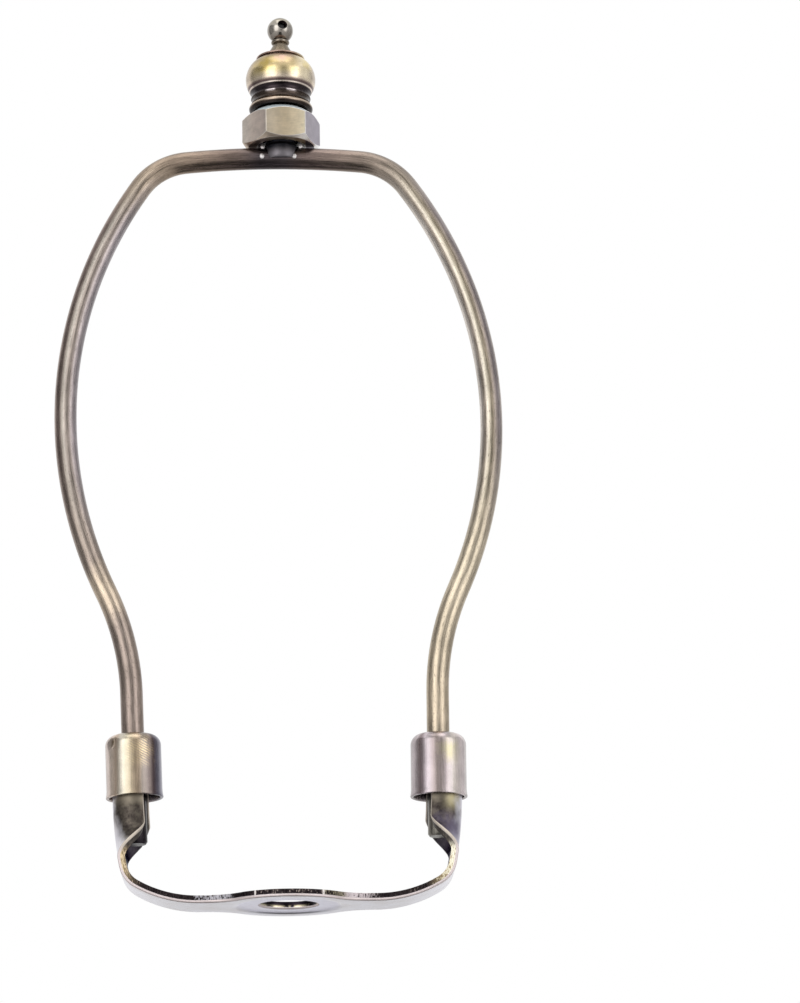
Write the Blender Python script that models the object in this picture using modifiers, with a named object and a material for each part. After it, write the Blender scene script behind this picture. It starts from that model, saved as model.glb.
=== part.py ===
"""Lamp harp: a wire loop that carries a shade, held by its legs in a stamped saddle.

The saddle is clamped on the lamp's pipe. Each leg of the loop drops into a rolled ear of the
saddle and a drawn sleeve slides down over both. On top of the loop stand a threaded stud, a hex
nut and a turned finial, which screws down on the shade's ring.

Units are metres, +Z is up. The origin is the centre of the pipe hole on the saddle's underside.
"""
from math import acos, asin, atan2, cos, pi, radians, sin, sqrt, tan

import bmesh
import bpy
from mathutils import Vector

# Clearance kept between pieces that touch
SEAT_GAP = 0.0003

# Loop: one round wire, bent to arcs that run into each other
WIRE_RADIUS = 0.0021
LEG_SPACING = 0.0568
LOOP_WIDTH = 0.0808
LOOP_WIDEST_HEIGHT = 0.0933
LEG_BEND_RADIUS = 0.0494
FLANK_RADIUS = 0.0810
CORNER_RADIUS = 0.0122
CROWN_RADIUS = 0.1800
CROWN_HEIGHT = 0.14575
LEFT_LEG_END = 0.0118
RIGHT_LEG_END = 0.0126
# The legs close in a little toward their ends, and the loop has settled to the left of its stud
LEG_TAPER = radians(1.2)
LOOP_LEAN = 0.0016

# Saddle: one stamped strip with a ring in the middle and a rolled ear at each end
SHEET = 0.0014
PIPE_HOLE_RADIUS = 0.0053
RING_RADIUS = 0.0124
RING_NECK_RADIUS = 0.0085
ARM_WIDTH = 0.0115
SEAT_RADIUS = 0.0092
SEAT_RISE = 0.0003
SEAT_DRAFT = 0.0003
ARM_SWEEP_RADIUS = 0.0234
ARM_SWEEP_ANGLE = radians(30)
ARM_KNEE_RADIUS = 0.0056
ARM_KNEE_ANGLE = radians(78.4)
EAR_STRAIGHTEN_RADIUS = 0.0740
EAR_PLAY = 0.0005
EAR_FRONT_WRAP = radians(119)
EAR_BACK_WRAP = radians(132)
EAR_CURL_START = 0.0092
EAR_CURL_END = 0.0158

# Sleeves: drawn cups that slide on the legs and over the ears
SLEEVE_HEIGHT = 0.0118
SLEEVE_WALL = 0.0006
SLEEVE_PLAY = 0.00055
SLEEVE_SHOULDER_RADIUS = 0.0020
LEFT_SLEEVE_FOOT = 0.0203
RIGHT_SLEEVE_FOOT = 0.0198
SLEEVE_FLARE = 0.00015
SLEEVE_FLARE_HEIGHT = 0.0014

# Stud: quarter-inch lamp thread on a wider foot, brazed astride the crown
STUD_RADIUS = 0.003175
STUD_REACH = 0.0062
STUD_FOOT_RADIUS = 0.0039
STUD_FOOT_DROP = 0.0006
STUD_TIP_CHAMFER = 0.0005
THREAD_PLAY = 0.0003

# Hex nut
NUT_ACROSS_FLATS = 0.0132
NUT_HEIGHT = 0.0068
NUT_TOP_FACE_RADIUS = 0.0057
NUT_TOP_CHAMFER_ANGLE = radians(48)
NUT_BOTTOM_FACE_RADIUS = 0.0050
NUT_BOTTOM_CHAMFER_ANGLE = radians(7)
NUT_COUNTERSINK = 0.0011
NUT_TURN = radians(7.7)

# Finial, from its foot up
FINIAL_FLANGE_RADIUS = 0.00620
FINIAL_FLANGE_HEIGHT = 0.00130
FINIAL_WAIST_RADIUS = 0.00562
FINIAL_COLLAR_RADIUS = 0.00596
FINIAL_COLLAR_HEIGHT = 0.00295
FINIAL_BULB_RADIUS = 0.00678
FINIAL_BULB_ARC = 0.00470
FINIAL_BULB_TOP_RADIUS = 0.00470
FINIAL_GROOVE_DEPTH = 0.00040
FINIAL_GROOVE_HEIGHT = 0.00030
FINIAL_CAP_RADIUS = 0.00472
FINIAL_CAP_HEIGHT = 0.00055
FINIAL_CAP_RIM = 0.00024
FINIAL_NECK_RADIUS = 0.00150
FINIAL_NECK_HEIGHT = 0.00291
FINIAL_NECK_FOOT_RADIUS = 0.00300
FINIAL_BEAD_RADIUS = 0.00178
FINIAL_BEAD_HEIGHT = 0.00080
FINIAL_BALL_RADIUS = 0.00253
FINIAL_BORE_PAST_STUD = 0.0008
FINIAL_BORE_TIP_ANGLE = radians(59)
CROSS_HOLE_RADIUS = 0.00095
CROSS_HOLE_RISE = 0.0004
CROSS_HOLE_TURN = radians(12)

# Smoothness of the round work
TURN_STEPS = 40
CROSS_HOLE_STEPS = 20
WIRE_BEVEL_RESOLUTION = 6
BEND_STEP = radians(4.5)
CORNER_STEP = radians(6.3)
BULB_STEP = radians(10)
BALL_STEP = radians(12)
SHOULDER_STEP = radians(18)
FLANGE_STEP = radians(30)
RIM_STEP = radians(45)
HOLLOW_STEPS = 6
EDGE_BREAK = 0.00012
SAME_POINT = 0.000001

# Rows of the saddle's strip: around half the ring, through its neck, along the bends and the ear
RING_ROWS = 9
NECK_ROWS = 6
BEND_ROW_SPACING = 0.0013
FEWEST_BEND_ROWS = 3
EAR_ROW_SPACING = 0.0040
SECTION_STEPS = 14
NEARLY_FLAT = 0.002

# Sizes and places that follow from those above
EAR_RADIUS = WIRE_RADIUS + EAR_PLAY + SHEET / 2
EAR_TOP = min(LEFT_SLEEVE_FOOT, RIGHT_SLEEVE_FOOT) + SLEEVE_HEIGHT - SLEEVE_SHOULDER_RADIUS
SLEEVE_RADIUS = EAR_RADIUS + SHEET / 2 + SLEEVE_PLAY + SLEEVE_WALL
WIRE_TOP = CROWN_HEIGHT + WIRE_RADIUS
NUT_BASE = WIRE_TOP + SEAT_GAP
FINIAL_BASE = NUT_BASE + NUT_HEIGHT + SEAT_GAP
STUD_TOP = FINIAL_BASE + STUD_REACH


def clear_scene():
    for old in list(bpy.data.objects):
        bpy.data.objects.remove(old, do_unlink=True)


def new_collection(name):
    collection = bpy.data.collections.new(name)
    bpy.context.scene.collection.children.link(collection)
    return collection


def metal(name, color, roughness):
    material = bpy.data.materials.new(name)
    material.use_nodes = True
    shader = material.node_tree.nodes["Principled BSDF"]
    shader.inputs["Base Color"].default_value = (*color, 1.0)
    shader.inputs["Roughness"].default_value = roughness
    shader.inputs["Metallic"].default_value = 1.0
    return material


def arc(centre, radius, start, end, step=BEND_STEP):
    """Points of an arc in the XZ plane, both ends included."""
    count = max(1, round(abs(end - start) / step))
    angles = [start + (end - start) * i / count for i in range(count + 1)]
    return [Vector((centre[0] + radius * cos(a), centre[1] + radius * sin(a))) for a in angles]


def join_points(*runs):
    """One list from several runs, with repeated neighbours dropped."""
    points = []
    for run in runs:
        for point in run:
            point = Vector(point)
            if not points or (point - points[-1]).length > SAME_POINT:
                points.append(point)
    return points


def smooth_step(value, start, end):
    t = min(1.0, max(0.0, (value - start) / (end - start)))
    return t * t * (3 - 2 * t)


def place(name, data, collection, material=None):
    piece = bpy.data.objects.new(name, data)
    collection.objects.link(piece)
    if material:
        data.materials.append(material)
    return piece


def as_cutter(piece):
    piece.hide_render = True
    piece.display_type = "WIRE"
    return piece


def boolean(piece, other, operation):
    modifier = piece.modifiers.new(other.name, "BOOLEAN")
    modifier.operation = operation
    modifier.object = other
    modifier.solver = "EXACT"


def turned(name, profile, collection, material=None, closed=False, steps=TURN_STEPS):
    """A body of revolution about its own Z axis. The profile runs down the outer side at +X."""
    mesh = bpy.data.meshes.new(name)
    vertices = [(point[0], 0.0, point[1]) for point in profile]
    edges = [(i, i + 1) for i in range(len(vertices) - 1)]
    if closed:
        edges.append((len(vertices) - 1, 0))
    mesh.from_pydata(vertices, edges, [])
    piece = place(name, mesh, collection, material)
    screw = piece.modifiers.new("Turn", "SCREW")
    screw.axis = "Z"
    screw.angle = 2 * pi
    screw.steps = steps
    screw.render_steps = steps
    screw.use_merge_vertices = True
    screw.merge_threshold = SAME_POINT
    screw.use_smooth_shade = True
    return piece


def cylinder(name, radius, depth, collection, sides=TURN_STEPS, top_radius=None):
    """A cylinder or cone on its own Z axis, from z = 0 up to its depth."""
    mesh = bpy.data.meshes.new(name)
    shape = bmesh.new()
    upper = radius if top_radius is None else top_radius
    bmesh.ops.create_cone(shape, cap_ends=True, segments=sides, radius1=radius,
                          radius2=upper, depth=depth)
    bmesh.ops.translate(shape, vec=(0, 0, depth / 2), verts=shape.verts)
    shape.to_mesh(mesh)
    shape.free()
    return place(name, mesh, collection)


def flank_centre():
    return Vector((LOOP_WIDTH / 2 - FLANK_RADIUS, LOOP_WIDEST_HEIGHT))


def bend_centre():
    """The leg bend lies outside the leg and runs into the flank's circle."""
    flank = flank_centre()
    bend_x = LEG_SPACING / 2 + LEG_BEND_RADIUS
    reach = LEG_BEND_RADIUS + FLANK_RADIUS
    return Vector((bend_x, flank.y - sqrt(reach ** 2 - (bend_x - flank.x) ** 2)))


def leg_x(height):
    """How far the straight leg stands from the middle at a height, before the loop settles."""
    start = bend_centre() + LEG_BEND_RADIUS * Vector((-cos(LEG_TAPER), sin(LEG_TAPER)))
    return start.x - (start.y - height) * tan(LEG_TAPER)


def settled(height):
    """How far the loop has gone to the left at a height above its legs' ends."""
    return LOOP_LEAN * (height - LEFT_LEG_END) / (CROWN_HEIGHT - LEFT_LEG_END)


def loop_half(leg_end):
    """Centre line of the right half of the loop, from the end of its leg to the crown."""
    flank = flank_centre()
    bend = bend_centre()
    lean = asin((flank.y - bend.y) / (LEG_BEND_RADIUS + FLANK_RADIUS))

    # The corner lies inside both the flank's circle and the crown's circle
    crown = Vector((0, CROWN_HEIGHT - CROWN_RADIUS))
    from_flank = FLANK_RADIUS - CORNER_RADIUS
    from_crown = CROWN_RADIUS - CORNER_RADIUS
    apart = (flank - crown).length
    toward_flank = atan2(flank.y - crown.y, flank.x - crown.x)
    opening = acos((apart ** 2 + from_crown ** 2 - from_flank ** 2) / (2 * apart * from_crown))
    brow = toward_flank - opening
    corner = crown + from_crown * Vector((cos(brow), sin(brow)))
    shoulder = atan2(corner.y - flank.y, corner.x - flank.x)

    return join_points([(leg_x(leg_end), leg_end)],
                       arc(bend, LEG_BEND_RADIUS, pi - LEG_TAPER, pi - lean),
                       arc(flank, FLANK_RADIUS, -lean, shoulder),
                       arc(corner, CORNER_RADIUS, shoulder, brow, CORNER_STEP),
                       arc(crown, CROWN_RADIUS, brow, pi / 2))


def build_loop(collection):
    right = loop_half(RIGHT_LEG_END)
    left = [Vector((-point.x, point.y)) for point in loop_half(LEFT_LEG_END)]
    whole = right + left[-2::-1]
    centre_line = [(point.x - settled(point.y), 0.0, point.y) for point in whole]

    curve = bpy.data.curves.new("harp_wire", "CURVE")
    curve.dimensions = "3D"
    curve.bevel_depth = WIRE_RADIUS
    curve.bevel_resolution = WIRE_BEVEL_RESOLUTION
    curve.use_fill_caps = True
    spline = curve.splines.new("POLY")
    spline.points.add(len(centre_line) - 1)
    for knot, point in zip(spline.points, centre_line):
        knot.co = (*point, 1.0)
    return place("harp_wire", curve, collection, metal("wire_bronze", (0.33, 0.27, 0.20), 0.38))


def saddle_spine():
    """Mid-sheet line of the right half, as (x, z, slope) from the centre to the ear's top."""
    turns = ((ARM_SWEEP_RADIUS, 0.0, ARM_SWEEP_ANGLE),
             (ARM_KNEE_RADIUS, ARM_SWEEP_ANGLE, ARM_KNEE_ANGLE),
             (EAR_STRAIGHTEN_RADIUS, ARM_KNEE_ANGLE, pi / 2))
    run = sum((radius - SHEET / 2) * (sin(end) - sin(start)) for radius, start, end in turns)
    # The ear stands where the leg passes its top
    flat_end = leg_x(EAR_TOP) + EAR_RADIUS - run

    stations = [(x, SHEET / 2, 0.0) for x in ring_stations(flat_end)]
    x = flat_end
    z = SHEET / 2
    for radius, start, end in turns:
        middle = radius - SHEET / 2
        length = middle * (end - start)
        count = max(FEWEST_BEND_ROWS, round(length / BEND_ROW_SPACING))
        for i in range(1, count + 1):
            slope = start + (end - start) * i / count
            stations.append((x + middle * (sin(slope) - sin(start)),
                             z + middle * (cos(start) - cos(slope)), slope))
        x, z = stations[-1][:2]
    rest = max(1, round((EAR_TOP - z) / EAR_ROW_SPACING))
    stations += [(x, z + (EAR_TOP - z) * i / rest, pi / 2) for i in range(1, rest + 1)]
    return stations


def ring_neck():
    """Centre of the fillet that leads the ring into its arm, and where the two meet."""
    neck_y = ARM_WIDTH / 2 + RING_NECK_RADIUS
    neck_x = sqrt((RING_RADIUS + RING_NECK_RADIUS) ** 2 - neck_y ** 2)
    return neck_x, neck_y, neck_x * RING_RADIUS / (RING_RADIUS + RING_NECK_RADIUS)


def ring_stations(flat_end):
    """Stations across the flat middle, closer together where the outline turns fast."""
    neck_x, _, meet_x = ring_neck()
    ring = [meet_x * sin(pi / 2 * i / RING_ROWS) for i in range(RING_ROWS + 1)]
    neck = [meet_x + (neck_x - meet_x) * i / NECK_ROWS for i in range(1, NECK_ROWS + 1)]
    return [x for x in ring + neck if x < flat_end - EDGE_BREAK] + [flat_end]


def half_widths(x, z):
    """Developed width of the strip in front of its spine and behind it at a station."""
    neck_x, neck_y, meet_x = ring_neck()
    if x <= meet_x:
        half = sqrt(RING_RADIUS ** 2 - x ** 2)
    elif x < neck_x:
        half = neck_y - sqrt(RING_NECK_RADIUS ** 2 - (neck_x - x) ** 2)
    else:
        half = ARM_WIDTH / 2
    tab = smooth_step(z, EAR_CURL_START, EAR_CURL_END)
    front = half + (EAR_RADIUS * EAR_FRONT_WRAP - half) * tab
    back = half + (EAR_RADIUS * EAR_BACK_WRAP - half) * tab
    return front, back


def saddle_row(x, z, slope):
    """One row of points across the strip: straight on the arms, rolled to a gutter in the ears."""
    front, back = half_widths(x, z)
    curl = smooth_step(z, EAR_CURL_START, EAR_CURL_END) / EAR_RADIUS
    row = []
    for i in range(SECTION_STEPS + 1):
        across = -front + (front + back) * i / SECTION_STEPS
        if curl * EAR_RADIUS > NEARLY_FLAT:
            sideways = sin(curl * across) / curl
            inward = (1 - cos(curl * across)) / curl
        else:
            sideways = across
            inward = 0.0
        row.append((x - inward * sin(slope), sideways, z + inward * cos(slope)))
    return row


def build_saddle(collection, cutters):
    right = [saddle_row(*station) for station in saddle_spine()]
    left = [[(-x, y, z) for x, y, z in row] for row in right[:0:-1]]
    rows = left + right

    mesh = bpy.data.meshes.new("saddle")
    shape = bmesh.new()
    grid = [[shape.verts.new(point) for point in row] for row in rows]
    for low, high in zip(grid, grid[1:]):
        for i in range(SECTION_STEPS):
            shape.faces.new((low[i], high[i], high[i + 1], low[i + 1]))
    shape.to_mesh(mesh)
    shape.free()
    saddle = place("saddle", mesh, collection, metal("saddle_nickel", (0.45, 0.42, 0.40), 0.30))

    shell = saddle.modifiers.new("Sheet", "SOLIDIFY")
    shell.thickness = SHEET
    shell.offset = 0.0
    shell.use_even_offset = True
    edge = saddle.modifiers.new("Edge", "BEVEL")
    edge.width = EDGE_BREAK
    edge.segments = 1
    edge.limit_method = "ANGLE"
    edge.angle_limit = radians(60)

    # The seat is pressed up: a shallow dish below and the same step above
    boss = as_cutter(cylinder("seat_boss", SEAT_RADIUS + SEAT_DRAFT, SHEET / 2 + SEAT_RISE, cutters,
                              top_radius=SEAT_RADIUS))
    boss.location.z = SHEET / 2
    boolean(saddle, boss, "UNION")
    dish = as_cutter(cylinder("seat_dish", SEAT_RADIUS + SEAT_DRAFT * 2, SEAT_RISE * 2, cutters,
                              top_radius=SEAT_RADIUS))
    dish.location.z = -SEAT_RISE
    boolean(saddle, dish, "DIFFERENCE")
    hole = as_cutter(cylinder("pipe_hole", PIPE_HOLE_RADIUS, SHEET * 4, cutters))
    hole.location.z = -SHEET * 2
    boolean(saddle, hole, "DIFFERENCE")
    return saddle


def build_sleeve(name, foot, outward, collection, material):
    """A thin cup, open below, with a hole in its top that slides on the leg."""
    inner_shoulder = SLEEVE_SHOULDER_RADIUS - SLEEVE_WALL
    top = SLEEVE_HEIGHT
    shoulder = (SLEEVE_RADIUS - SLEEVE_SHOULDER_RADIUS, top - SLEEVE_SHOULDER_RADIUS)
    wire_hole = WIRE_RADIUS + SEAT_GAP
    flared = SLEEVE_RADIUS + SLEEVE_FLARE
    profile = join_points(
        [(wire_hole, top)],
        arc(shoulder, SLEEVE_SHOULDER_RADIUS, pi / 2, 0, SHOULDER_STEP),
        [(SLEEVE_RADIUS, SLEEVE_FLARE_HEIGHT), (flared, 0), (flared - SLEEVE_WALL, 0),
         (SLEEVE_RADIUS - SLEEVE_WALL, SLEEVE_FLARE_HEIGHT)],
        arc(shoulder, inner_shoulder, 0, pi / 2, SHOULDER_STEP),
        [(wire_hole, top - SLEEVE_WALL)])
    sleeve = turned(name, profile, collection, material, closed=True)
    sleeve.location = (outward * leg_x(foot) - settled(foot), 0, foot)
    lean = outward * tan(LEG_TAPER) - LOOP_LEAN / (CROWN_HEIGHT - LEFT_LEG_END)
    sleeve.rotation_euler.y = atan2(lean, 1)
    return sleeve


def build_stud(collection, cutters):
    """The stud's foot is coped to sit astride the wire."""
    foot = CROWN_HEIGHT - STUD_FOOT_DROP
    foot_height = WIRE_TOP - foot
    length = STUD_TOP - foot
    profile = [(0, length), (STUD_RADIUS - STUD_TIP_CHAMFER, length),
               (STUD_RADIUS, length - STUD_TIP_CHAMFER), (STUD_RADIUS, foot_height),
               (STUD_FOOT_RADIUS, foot_height), (STUD_FOOT_RADIUS, 0), (0, 0)]
    stud = turned("top_stud", profile, collection, metal("stud_steel", (0.16, 0.15, 0.15), 0.42))
    stud.location.z = foot
    across = STUD_FOOT_RADIUS * 4
    groove = as_cutter(cylinder("wire_groove", WIRE_RADIUS + SEAT_GAP, across, cutters))
    groove.rotation_euler.y = pi / 2
    groove.location = (-across / 2, 0, CROWN_HEIGHT)
    boolean(stud, groove, "DIFFERENCE")
    return stud


def build_nut(collection, cutters):
    """A hex bar, turned at both ends to a chamfer, bored for the stud and countersunk below."""
    corner = NUT_ACROSS_FLATS / 2 / cos(pi / 6)
    nut = cylinder("hex_nut", corner, NUT_HEIGHT, collection, sides=6)
    nut.data.materials.append(metal("nut_brass", (0.52, 0.44, 0.31), 0.30))
    nut.location.z = NUT_BASE
    # The bar starts with a corner in front, half a flat away from where the nut's turn begins
    nut.rotation_euler.z = NUT_TURN + pi / 6

    # The form that both ends are turned to runs a little past the bar, above, below and outside
    past = SEAT_GAP
    outside = corner + past
    profile = [(0, NUT_HEIGHT + past),
               (NUT_TOP_FACE_RADIUS - past / tan(NUT_TOP_CHAMFER_ANGLE), NUT_HEIGHT + past),
               (outside, NUT_HEIGHT - (outside - NUT_TOP_FACE_RADIUS) * tan(NUT_TOP_CHAMFER_ANGLE)),
               (outside, (outside - NUT_BOTTOM_FACE_RADIUS) * tan(NUT_BOTTOM_CHAMFER_ANGLE)),
               (NUT_BOTTOM_FACE_RADIUS - past / tan(NUT_BOTTOM_CHAMFER_ANGLE), -past),
               (0, -past)]
    form = as_cutter(turned("nut_chamfers", profile, cutters))
    form.location = nut.location
    boolean(nut, form, "INTERSECT")
    hole = STUD_RADIUS + THREAD_PLAY
    bore = as_cutter(turned("nut_bore", [(0, NUT_HEIGHT + past), (hole, NUT_HEIGHT + past),
                                         (hole, NUT_COUNTERSINK),
                                         (hole + NUT_COUNTERSINK + past, -past), (0, -past)], cutters))
    bore.location = nut.location
    boolean(nut, bore, "DIFFERENCE")
    return nut


def finial_profile():
    """Outer side from the ball down to the foot, then up the blind bore."""
    collar_foot = FINIAL_FLANGE_HEIGHT
    bulb_foot = collar_foot + FINIAL_COLLAR_HEIGHT
    flange_round = FINIAL_FLANGE_HEIGHT / 2

    # The bulb is part of a circle whose widest point gives the finial's radius
    bulb_x = FINIAL_BULB_RADIUS - FINIAL_BULB_ARC
    below = acos((FINIAL_COLLAR_RADIUS + EDGE_BREAK - bulb_x) / FINIAL_BULB_ARC)
    above = acos((FINIAL_BULB_TOP_RADIUS - bulb_x) / FINIAL_BULB_ARC)
    bulb = (bulb_x, bulb_foot + FINIAL_BULB_ARC * sin(below))
    bulb_top = bulb[1] + FINIAL_BULB_ARC * sin(above)

    groove_radius = FINIAL_BULB_TOP_RADIUS - FINIAL_GROOVE_DEPTH
    cap_foot = bulb_top + FINIAL_GROOVE_HEIGHT
    cap_round = FINIAL_CAP_RIM / 2
    neck_foot = cap_foot + FINIAL_CAP_HEIGHT
    flare = FINIAL_NECK_FOOT_RADIUS - FINIAL_NECK_RADIUS
    bead_foot = neck_foot + FINIAL_NECK_HEIGHT
    bead_round = FINIAL_BEAD_HEIGHT / 2
    bead_top = bead_foot + FINIAL_BEAD_HEIGHT
    seat = asin(FINIAL_NECK_RADIUS / FINIAL_BALL_RADIUS)
    ball = (0, bead_top + FINIAL_BALL_RADIUS * cos(seat))

    # The collar is hollowed to its waist by an arc through three heights
    hollow = FINIAL_COLLAR_RADIUS - FINIAL_WAIST_RADIUS
    half = FINIAL_COLLAR_HEIGHT / 2
    hollow_arc = (hollow ** 2 + half ** 2) / (2 * hollow)
    swing = asin(half / hollow_arc)
    hollow_centre = (FINIAL_WAIST_RADIUS + hollow_arc, collar_foot + half)

    bore = STUD_RADIUS + THREAD_PLAY
    bore_depth = STUD_REACH + FINIAL_BORE_PAST_STUD
    drill_tip = bore_depth + bore / tan(FINIAL_BORE_TIP_ANGLE)
    return join_points(
        arc(ball, FINIAL_BALL_RADIUS, pi / 2, seat - pi / 2, BALL_STEP),
        arc((FINIAL_BEAD_RADIUS - bead_round, bead_foot + bead_round), bead_round,
            pi / 2, -pi / 2, RIM_STEP),
        [(FINIAL_NECK_RADIUS, bead_foot)],
        [(FINIAL_NECK_RADIUS, neck_foot + flare)],
        arc((FINIAL_NECK_FOOT_RADIUS, neck_foot + flare), flare, pi, pi * 1.5, SHOULDER_STEP),
        arc((FINIAL_CAP_RADIUS - cap_round, cap_foot + cap_round), cap_round,
            pi / 2, -pi / 2, RIM_STEP),
        [(groove_radius, cap_foot), (groove_radius, bulb_top)],
        arc(bulb, FINIAL_BULB_ARC, above, -below, BULB_STEP),
        [(FINIAL_COLLAR_RADIUS, bulb_foot)],
        arc(hollow_centre, hollow_arc, pi - swing, pi + swing, 2 * swing / HOLLOW_STEPS),
        arc((FINIAL_FLANGE_RADIUS - flange_round, flange_round), flange_round,
            pi / 2, -pi / 2, FLANGE_STEP),
        [(bore, 0), (bore, bore_depth), (0, drill_tip)]), ball[1]


def build_finial(collection, cutters):
    profile, ball_height = finial_profile()
    finial = turned("finial", profile, collection, metal("finial_brass", (0.60, 0.49, 0.29), 0.26))
    finial.location.z = FINIAL_BASE
    length = FINIAL_BALL_RADIUS * 4
    drill = as_cutter(cylinder("cross_hole", CROSS_HOLE_RADIUS, length, cutters,
                              sides=CROSS_HOLE_STEPS))
    drill.rotation_euler = (pi / 2, 0, CROSS_HOLE_TURN)
    offset = Vector((-sin(CROSS_HOLE_TURN), cos(CROSS_HOLE_TURN), 0)) * length / 2
    drill.location = offset + Vector((0, 0, FINIAL_BASE + ball_height + CROSS_HOLE_RISE))
    boolean(finial, drill, "DIFFERENCE")
    return finial


def main():
    clear_scene()
    harp = new_collection("lamp_harp")
    cutters = new_collection("cutters")
    build_saddle(harp, cutters)
    build_loop(harp)
    sleeve_metal = metal("sleeve_brass", (0.55, 0.47, 0.34), 0.28)
    build_sleeve("sleeve_left", LEFT_SLEEVE_FOOT, -1, harp, sleeve_metal)
    build_sleeve("sleeve_right", RIGHT_SLEEVE_FOOT, 1, harp, sleeve_metal)
    build_stud(harp, cutters)
    build_nut(harp, cutters)
    build_finial(harp, cutters)


main()
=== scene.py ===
"""Looks of the lamp harp: plated steel saddle, bronzed wire loop, brass sleeves, nut and finial.

Units are metres, +Z is up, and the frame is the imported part's own.
"""
from math import acos, asin, atan2, cos, hypot, pi, radians, sin, sqrt, tan

import bmesh
import bpy
import numpy as np
from mathutils import Matrix, Vector, noise


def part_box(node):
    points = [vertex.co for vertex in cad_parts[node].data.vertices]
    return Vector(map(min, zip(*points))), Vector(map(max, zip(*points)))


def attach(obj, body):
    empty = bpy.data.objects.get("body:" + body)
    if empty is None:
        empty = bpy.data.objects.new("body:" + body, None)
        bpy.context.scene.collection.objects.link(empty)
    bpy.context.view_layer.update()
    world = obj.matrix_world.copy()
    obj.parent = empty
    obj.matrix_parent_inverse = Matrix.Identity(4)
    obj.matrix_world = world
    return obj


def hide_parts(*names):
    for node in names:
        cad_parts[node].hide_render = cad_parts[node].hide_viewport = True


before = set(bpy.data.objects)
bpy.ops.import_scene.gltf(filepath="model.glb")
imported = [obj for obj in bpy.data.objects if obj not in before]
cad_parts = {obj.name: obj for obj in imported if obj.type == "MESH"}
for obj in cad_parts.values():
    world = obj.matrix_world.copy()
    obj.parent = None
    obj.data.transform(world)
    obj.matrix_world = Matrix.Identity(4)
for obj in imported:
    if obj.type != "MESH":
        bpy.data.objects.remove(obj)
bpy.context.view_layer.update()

saddle_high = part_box("saddle")[1]
wire_low, wire_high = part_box("harp_wire")
WIRE_RADIUS = (wire_high.y - wire_low.y) / 2
SHEET = 0.0014
HOLE_RADIUS = 0.0053
RING_RADIUS = saddle_high.y
NECK_RADIUS = 0.0085
ARM_WIDTH = 0.0115
SEAT_RISE = 0.0003
SEAT_STEP = (0.0088, 0.0101)
SEAT_ROWS = (0.0058, 0.0068, 0.0082)
SEAT_MARGIN = 0.0005
BORE_WALL = ((0.3, 0.00003), (0.5, 0.00003), (0.7, 0.00003), (0.88, 0.00003), (0.97, 0.00007),
             (1, 0.00014))
ARM_BENDS = ((0.0234, 0, radians(30)), (0.0056, radians(30), radians(78.4)),
             (0.0740, radians(78.4), radians(90)))
EAR_PLAY = 0.0005
EAR_RADIUS = WIRE_RADIUS + EAR_PLAY + SHEET / 2
EAR_WRAPS = (radians(119), radians(132))
EAR_CURLS = {-1: (0.0085, 0.0150), 1: (0.0090, 0.0156)}
ROW_SPACING = 0.0004
LIP = 0.00028
EDGE_INSET = LIP + 0.00002
TEAR_DEPTH = 0.00006


def soft_step(value, start, end):
    share = np.clip((value - start) / (end - start), 0, 1)
    return share * share * (3 - 2 * share)


def arc(centre, radius, start, end, count):
    """Points of an arc from one angle to another, both ends included."""
    angles = [start + (end - start) * i / count for i in range(count + 1)]
    return [(centre[0] + radius * cos(a), centre[1] + radius * sin(a)) for a in angles]


def arm_stations():
    """Mid-sheet line of the right arm and its ear, as (x, z, slope)."""
    run = sum((outer - SHEET / 2) * (sin(end) - sin(start)) for outer, start, end in ARM_BENDS)
    x, z = saddle_high.x - SHEET / 2 - run, SHEET / 2
    stations = [(x, z, 0.0)]
    for outer, start, end in ARM_BENDS:
        middle = outer - SHEET / 2
        count = round(middle * (end - start) / ROW_SPACING)
        for i in range(1, count + 1):
            slope = start + (end - start) * i / count
            stations.append((x + middle * (sin(slope) - sin(start)),
                             z + middle * (cos(start) - cos(slope)), slope))
        x, z = stations[-1][:2]
    count = round((saddle_high.z - z) / ROW_SPACING)
    stations += [(x, z + (saddle_high.z - z) * i / count, pi / 2) for i in range(1, count + 1)]
    return stations


def arm_shares():
    """Columns across the strip, closer together beside its edges."""
    inner = np.linspace(0, 1, 27)[1:-1]
    return np.concatenate(([0, 0.012], inner, [0.988, 1]))


def arm_surface(stations, side):
    """Middle of the sheet over the arm and its ear, with the sheet's own directions there."""
    shares = arm_shares()
    rows = []
    for x, z, slope in stations:
        curled = float(soft_step(z, *EAR_CURLS[side]))
        front, back = (ARM_WIDTH / 2 + (EAR_RADIUS * wrap - ARM_WIDTH / 2) * curled
                       for wrap in EAR_WRAPS)
        inner = -front + EDGE_INSET + shares * (front + back - 2 * EDGE_INSET)
        across = np.concatenate(([-front], inner, [back]))
        curl = max(curled, 1e-6) / EAR_RADIUS
        sideways = np.sin(curl * across) / curl
        inward = (1 - np.cos(curl * across)) / curl
        rows.append(np.stack((x - inward * sin(slope), sideways, z + inward * cos(slope)), 1))
    middle = np.array(rows)
    along = np.gradient(middle, axis=0)
    over = np.gradient(middle, axis=1)
    over /= np.linalg.norm(over, axis=2, keepdims=True)
    normal = np.cross(along, over)
    normal /= np.linalg.norm(normal, axis=2, keepdims=True)
    normal[0] = (0, 0, 1)
    return middle, normal, over


def sheared_profile():
    """Cut edge from the lower face to the upper one: (share of the sheet, outward, finish)."""
    lip = [(1 - cos(a) if a else 0, sin(a)) for a in np.linspace(0, pi / 2, 6)]
    profile = [(LIP / SHEET * rise, LIP * (out - 1), "lip") for rise, out in lip[1:]]
    profile += [(0.27, 0.0, "lip"), (0.33, 0.0, "lip")]
    for share in np.linspace(0.39, 0.92, 7):
        profile.append((float(share), -0.00005 * float(share), "torn"))
    profile.append((0.97, -0.00007, "torn"))
    profile.append((1.0, -0.00012, "torn"))
    return profile


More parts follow.
